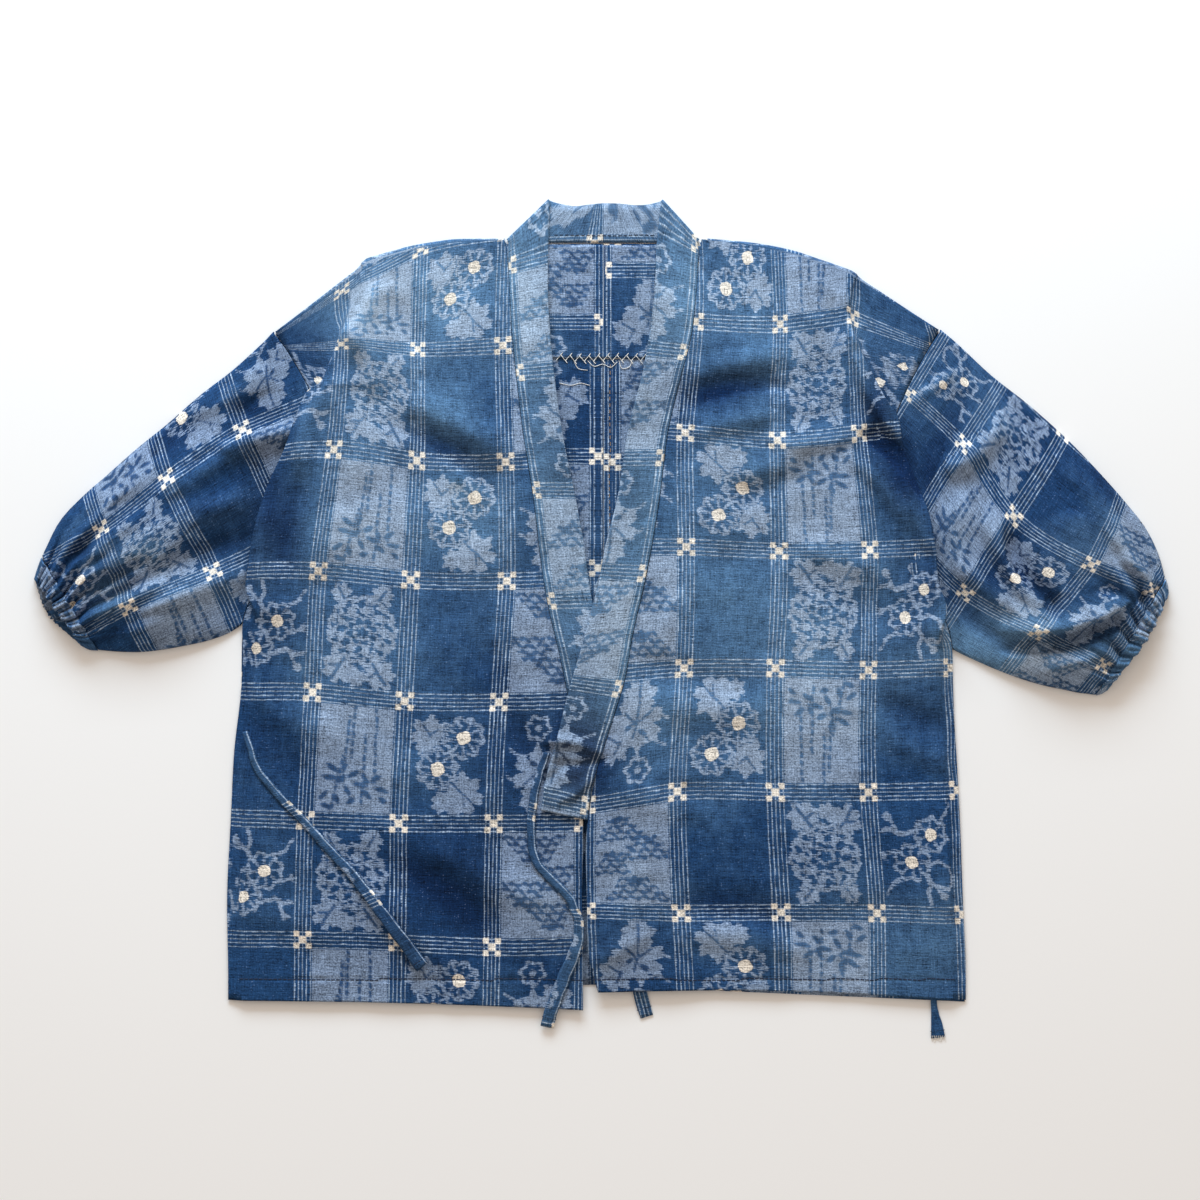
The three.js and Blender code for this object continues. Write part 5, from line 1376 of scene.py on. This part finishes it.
def cloth_material(name, fade=0.0, grey=0.0):
    """Indigo cloth with its check, figures, fading, stains, unfaded patches, painted light and shade, and
    weave. fade and grey are for the whole of the cloth.
    """
    material, tree, shader = new_material(name)

    def parts(kind, source):
        return [Field(tree, socket) for socket in add_node(tree, kind, {0: source}).outputs]

    def kept_on_points(name, output):
        return add_node(tree, "Attribute", attribute_name=name).outputs[output]

    across, along, _ = parts("SeparateXYZ", add_node(tree, "UVMap", uv_map="cloth").outputs[0])
    u, v = across * 1000, along * 1000
    light_figure, dark_figure, pale_figure = parts("SeparateColor", kept_on_points("figures", "Color"))
    faded_and_lit, dark_and_shaded, stained = parts("SeparateXYZ", kept_on_points("wear_light_and_shade", "Vector"))

    weft = cloth_noise(tree, u, v, 7.0, 1.1)
    warp = cloth_noise(tree, u, v, 1.2, 16.0, offset=40)
    grain = cloth_noise(tree, u, v, 1.7, 1.5, detail=1.0, offset=80)
    cloud = cloth_noise(tree, u, v, 12.0, 15.0, detail=2.0, offset=120)
    streak = cloth_noise(tree, u, v, 42.0, 1.7, offset=160)

    # painted light: the faded share also holds ridges and shaded slopes painted paler
    faded_and_lit = (faded_and_lit + cloud * 0.12 + fade).clamped()
    blue = blend(tree, faded_and_lit, linear(33, 67, 108), linear(94, 130, 163))
    light = blend(tree, faded_and_lit, linear(126, 144, 170), linear(162, 179, 198))
    # painted shade: the dark share darkens the cloth towards deep indigo in fold hollows and on slopes turned
    # from the light, as well as where it is unfaded
    blue = blend(tree, dark_and_shaded.clamped(), blue, linear(13, 38, 74))
    light = blend(tree, (dark_and_shaded * 0.5).clamped(), light, linear(96, 112, 142))

    bu = (u.mod(COLUMN) - COLUMN / 2).abs() * -1 + COLUMN / 2
    bv = (v.mod(ROW) - ROW / 2).abs() * -1 + ROW / 2
    wobble_u, wobble_v = bu + warp * 0.6 + weft * 0.3, bv + weft * 0.7
    column = (u * (1 / COLUMN)).floor().mod(4)
    row = (v * (1 / ROW)).floor().mod(2)
    first = (column * -1 + 0.5).clamped(10)
    third = ((column - 2).abs() * -1 + 0.5).clamped(10)
    light_check = first * row + third * (1 - row)
    inside = (bu - 9.4 + weft * 1.2).over(0.7) * (bv - 9.4).over(0.6)
    colour = blend(tree, light_check * inside * (0.9 + grain * 0.42), blue, light)
    figure = (light_figure + weft * 1.9).over(1.2) * (0.9 + grain * 0.45)
    colour = blend(tree, figure, colour, light)
    shade = (dark_figure + 0.3 + weft * 1.2).over(1.2) * (0.9 + grain * 0.35)
    colour = blend(tree, shade, colour, blue)

    def lines(across, edge):
        apart = ((across * 0.25 + 0.5).mod(1) - 0.5).abs() * 4
        return (0.52 - apart).over(0.55) * (edge * -1 + 8.9).over(0.5)

    stripes = lines(wobble_u, bu).max(lines(wobble_v, bv))
    stripes = stripes * (0.56 + warp * 0.32 + weft * 0.32)
    line_colour = blend(tree, faded_and_lit, linear(168, 187, 208), linear(186, 199, 212))
    colour = blend(tree, stripes.clamped(1 - grey * 0.3), colour, line_colour)

    jog = bu + weft * 0.9
    middle = (3.7 - jog).over(1.1) * (3.7 - bv).over(1.0)
    corner = (2.9 - (jog - 6.2).abs()).over(1.0) * (2.9 - (bv - 6.2).abs()).over(0.9)
    pale = middle.max(corner).max((pale_figure + weft * 0.8).over(1.0))
    cream = blend(tree, faded_and_lit, linear(232, 222, 208), linear(222, 214, 200))
    colour = blend(tree, pale * (0.92 + grain * 0.3), colour, cream)

    slub = (grain + weft * 0.5 + warp * 0.35 - 0.78).over(0.3) * 0.14
    colour = blend(tree, slub, colour, linear(190, 198, 210))
    stain = (stained + cloud * 0.1).clamped() * 0.46
    colour = add_node(tree, "Mix", {0: stain, 6: colour, 7: STAIN}, data_type="RGBA",
                      blend_type="MULTIPLY").outputs[2]
    if grey:
        colour = blend(tree, grey, colour, linear(126, 148, 156))
    thread = weft * 0.36 + warp * 0.26 + grain * 0.6 + cloud * 0.26 + streak * 0.28 + 1.0
    lit = add_node(tree, "VectorMath", {0: colour, "Scale": thread}, operation="SCALE")
    tree.links.new(lit.outputs[0], shader.inputs["Base Color"])
    shader.inputs["Roughness"].default_value = 0.94
    shader.inputs["Specular IOR Level"].default_value = 0.12
    height = weft * 0.4 + grain * 0.5 + warp * 0.3
    bump = add_node(tree, "Bump", {"Strength": 0.5, "Distance": 0.0004, "Height": height})
    tree.links.new(bump.outputs[0], shader.inputs["Normal"])
    return material


kasuri = cloth_material("kasuri cloth")
worn_kasuri = cloth_material("rubbed kasuri cloth", fade=0.38, grey=0.08)
inner_kasuri = cloth_material("unfaded kasuri cloth", fade=0.1)
gathered = cloth_material("cuff cloth", fade=0.32)
tie_kasuri = cloth_material("tie cloth", fade=0.28)
# cloth of the pieces that are faded otherwise than the bodies and sleeves
OTHER_CLOTH = {"collar": worn_kasuri, "yoke_lining": inner_kasuri, "tie_side_right": tie_kasuri,
               "tie_front_left": tie_kasuri, "cuff_right": gathered, "cuff_left": gathered,
               "tie_front_right": gathered}
for piece in pieces:
    piece.data.materials.append(OTHER_CLOTH.get(piece.name.removesuffix("_cloth"), kasuri))

# Stitches
def stitch_nodes():
    """Nodes that set a short round stitch at every pitch along a path."""
    tree = bpy.data.node_groups.new("running stitch", "GeometryNodeTree")
    sockets = {}
    for label, way, kind in (("Path", "INPUT", "Geometry"), ("Pitch", "INPUT", "Float"),
                             ("Length", "INPUT", "Float"), ("Thickness", "INPUT", "Float"),
                             ("Thread", "INPUT", "Material"), ("Stitches", "OUTPUT", "Geometry")):
        made = tree.interface.new_socket(label, in_out=way, socket_type="NodeSocket" + kind)
        sockets[label] = made.identifier
    nodes, link = tree.nodes, tree.links.new
    given, result = nodes.new("NodeGroupInput"), nodes.new("NodeGroupOutput")
    curve, spaced = nodes.new("GeometryNodeMeshToCurve"), nodes.new("GeometryNodeResampleCurve")
    spaced.mode = "LENGTH"
    one = nodes.new("GeometryNodeMeshCylinder")
    one.inputs["Vertices"].default_value = 6
    heading, turn = nodes.new("GeometryNodeInputTangent"), nodes.new("FunctionNodeAlignRotationToVector")
    turn.axis = "Z"
    place, made = nodes.new("GeometryNodeInstanceOnPoints"), nodes.new("GeometryNodeRealizeInstances")
    finish = nodes.new("GeometryNodeSetMaterial")
    link(given.outputs["Path"], curve.inputs["Mesh"])
    link(curve.outputs["Curve"], spaced.inputs["Curve"])
    link(given.outputs["Pitch"], spaced.inputs["Length"])
    link(given.outputs["Thickness"], one.inputs["Radius"])
    link(given.outputs["Length"], one.inputs["Depth"])
    link(heading.outputs["Tangent"], turn.inputs["Vector"])
    link(spaced.outputs["Curve"], place.inputs["Points"])
    link(one.outputs["Mesh"], place.inputs["Instance"])
    link(turn.outputs["Rotation"], place.inputs["Rotation"])
    link(place.outputs["Instances"], made.inputs["Geometry"])
    link(made.outputs["Geometry"], finish.inputs["Geometry"])
    link(given.outputs["Thread"], finish.inputs["Material"])
    link(finish.outputs["Geometry"], result.inputs["Stitches"])
    return tree, sockets


stitch_tree, stitch_sockets = stitch_nodes()


def thread_material(name, colour, worn_colour):
    """Twisted cotton thread, a little uneven in colour along its length."""
    material, tree, shader = new_material(name)
    place = add_node(tree, "TexCoord").outputs["Object"]
    mottle = add_node(tree, "TexNoise", {"Scale": 260, "Vector": place})
    tree.links.new(blend(tree, mottle.outputs[0], colour, worn_colour), shader.inputs["Base Color"])
    shader.inputs["Roughness"].default_value = 0.85
    return material


def stitched(name, paths, pitch, length, radius, thread):
    """Stitches along paths of points, all in millimetres."""
    verts = np.concatenate(paths) * MM
    edges, start = [], 0
    for path in paths:
        edges += [(start + k, start + k + 1) for k in range(len(path) - 1)]
        start += len(path)
    mesh = bpy.data.meshes.new(name)
    mesh.from_pydata(verts.tolist(), edges, [])
    piece = bpy.data.objects.new(name, mesh)
    scene.collection.objects.link(piece)
    run = piece.modifiers.new("stitches", "NODES")
    run.node_group = stitch_tree
    for label, value in (("Pitch", pitch * MM), ("Length", length * MM), ("Thickness", radius * MM),
                         ("Thread", thread)):
        run[stitch_sockets[label]] = value
    view = bpy.context.evaluated_depsgraph_get()
    stitches = bpy.data.meshes.new_from_object(piece.evaluated_get(view))
    piece.modifiers.remove(run)
    piece.data = stitches
    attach(piece, "root")
    return piece


def raised(points, by):
    points = np.array(points, float)
    points[..., 2] += by
    return points


indigo_thread = thread_material("indigo thread", linear(10, 18, 38), linear(30, 46, 76))
pale_thread = thread_material("pale thread", linear(255, 253, 248), linear(238, 232, 222))
tan_thread = thread_material("tan thread", linear(168, 140, 110), linear(122, 104, 88))

hem_paths = []
for grid, rows in ((right_grid, right_rows), (left_grid, left_rows)):
    face = grid[:rows, NECK_CELLS:NECK_CELLS + TOP_COLUMNS + TURN_CELLS]
    hem_y = table_xy(face)[1]
    path = []
    for j in range(0, face.shape[1], 2):
        k = int(np.argmin(np.abs(hem_y[:60, j] - HEM_LINE)))
        path.append(face[k, j])
    hem_paths.append(raised(path, CLOTH / 2 + 0.3))
# partly painted shade: the hem's stitches are near black and thick, so that they also stand for the shade of
# the groove they draw in
stitched("hem_stitches", hem_paths, pitch=4.8, length=3.8, radius=0.6,
         thread=indigo_thread)

neck_x = np.linspace(556, 652, 24)
neck_line = at(neck_x, 235 + 0.5 * noise(neck_x, 0 * neck_x, 20, 61), BAND_LOW_Z + BAND / 2 + 0.1)
stitched("neck_stitches", [neck_line], pitch=5.2, length=3.4, radius=0.4,
         thread=indigo_thread)

flap_y = np.linspace(366, 560, 40)
flap_line = at(609.8 + 0.8 * noise(flap_y, 0 * flap_y, 30, 62), flap_y, BACK_Z + CLOTH / 2 + 0.15)
stitched("centre_back_stitches", [flap_line], pitch=6.4, length=3.6, radius=0.42,
         thread=tan_thread)

ZIGZAG = 4.7                        # how far apart the turns of the lining's zigzag stitch are
zig_x = np.arange(556, 648, ZIGZAG)
zig_y = np.where(np.arange(len(zig_x)) % 2, 355.2, 360.8) + 0.8 * noise(zig_x, 0 * zig_x, 9, 63)
zig_z = np.where(np.arange(len(zig_x)) % 2, LINING_Z + LINING / 2 + 0.4, LINING_Z + 0.35)
corners = at(zig_x, zig_y, zig_z)
legs = [np.stack([a, b]) for a, b in zip(corners[:-1], corners[1:])]
middles = [np.stack([lerp(a, b, 0.5), lerp(a, b, 0.9)]) for a, b in legs]
leg = float(np.mean([np.linalg.norm(b - a) for a, b in legs]))
stitched("lining_stitches", middles, pitch=leg, length=leg, radius=0.36,
         thread=pale_thread)

THREADS = [[(588, 361), (594, 366), (603, 364), (611, 367), (617, 362)], [(574, 361), (578, 368), (587, 370)],
           [(619, 361), (622, 368), (630, 366), (632, 360)], [(560, 383), (571, 385), (581, 383), (589, 385)]]
loose = []
for spots in THREADS:
    spots = np.array(spots, float)
    line = between(np.stack([spots, spots], 1), 8)[:, 0]
    loose.append(at(line[:, 0], line[:, 1], BACK_Z + CLOTH / 2 + 0.5))
stitched("loose_threads", loose, pitch=0.8, length=1.0, radius=0.28,
         thread=pale_thread)

# the end of the tie inside the left side seam is worn through to its threads
frayed = []
for n, x in enumerate(np.linspace(932.5, 944.5, 7)):
    sway = 1.6 * math.sin(2.3 * n)
    frayed.append(at(np.array([x, x + sway * 0.4, x + sway]), np.array([1036.5, 1038.8, 1041 + n % 3 * 0.5]),
                     np.array([1.7, 1.1, 0.6])))
stitched("frayed_tie_end", frayed, pitch=0.8, length=1.0, radius=0.28,
         thread=pale_thread)

tie_paths = [raised(strip[-3], TIE / 2 + 0.1) for strip in tie_strips]
stitched("tie_stitches", tie_paths, pitch=2.6, length=1.7, radius=0.32,
         thread=indigo_thread)

# Table and light
TABLE_HALF = 4                      # metres from the middle of the table to its edges
table_mesh = bpy.data.meshes.new("white_table")
table_mesh.from_pydata([(x * TABLE_HALF, y * TABLE_HALF, 0) for x, y in ((-1, -1), (1, -1), (1, 1), (-1, 1))],
                       [], [(0, 1, 2, 3)])
floor = bpy.data.objects.new("white_table", table_mesh)
scene.collection.objects.link(floor)
paper, _, paper_shader = new_material("white paper")
paper_shader.inputs["Base Color"].default_value = linear(244, 242, 240)
paper_shader.inputs["Roughness"].default_value = 0.9
paper_shader.inputs["Specular IOR Level"].default_value = 0.1
table_mesh.materials.append(paper)


def lamp(name, place, aim, size, watts, colour):
    """A soft rectangle of light at a place, aimed at a point."""
    light = bpy.data.objects.new(name, bpy.data.lights.new(name, "AREA"))
    scene.collection.objects.link(light)
    light.data.shape = "RECTANGLE"
    light.data.size, light.data.size_y = size
    light.data.energy, light.data.color = watts, colour
    light.location = place
    light.rotation_euler = (Vector(aim) - Vector(place)).to_track_quat("-Z", "Y").to_euler()
    return light


lamp("window", place=(-0.3, 2.5, 1.15), aim=(0, 0.1, 0), size=(2.0, 1.0), watts=106, colour=(0.66, 0.84, 1.0))
world = bpy.data.worlds.new("room")
scene.world = world
world.use_nodes = True
sky = world.node_tree
room_light = sky.nodes["Background"]
room_light.inputs["Color"].default_value = (1.0, 0.885, 0.78, 1)
direction = add_node(sky, "SeparateXYZ", {0: add_node(sky, "TexCoord").outputs["Generated"]})
# the room is brighter on the side of its window
strength = add_node(sky, "MapRange", {"Value": direction.outputs["Y"], "From Min": -1, "From Max": 1,
                                      "To Min": 0.2, "To Max": 1.12})
sky.links.new(strength.outputs[0], room_light.inputs["Strength"])
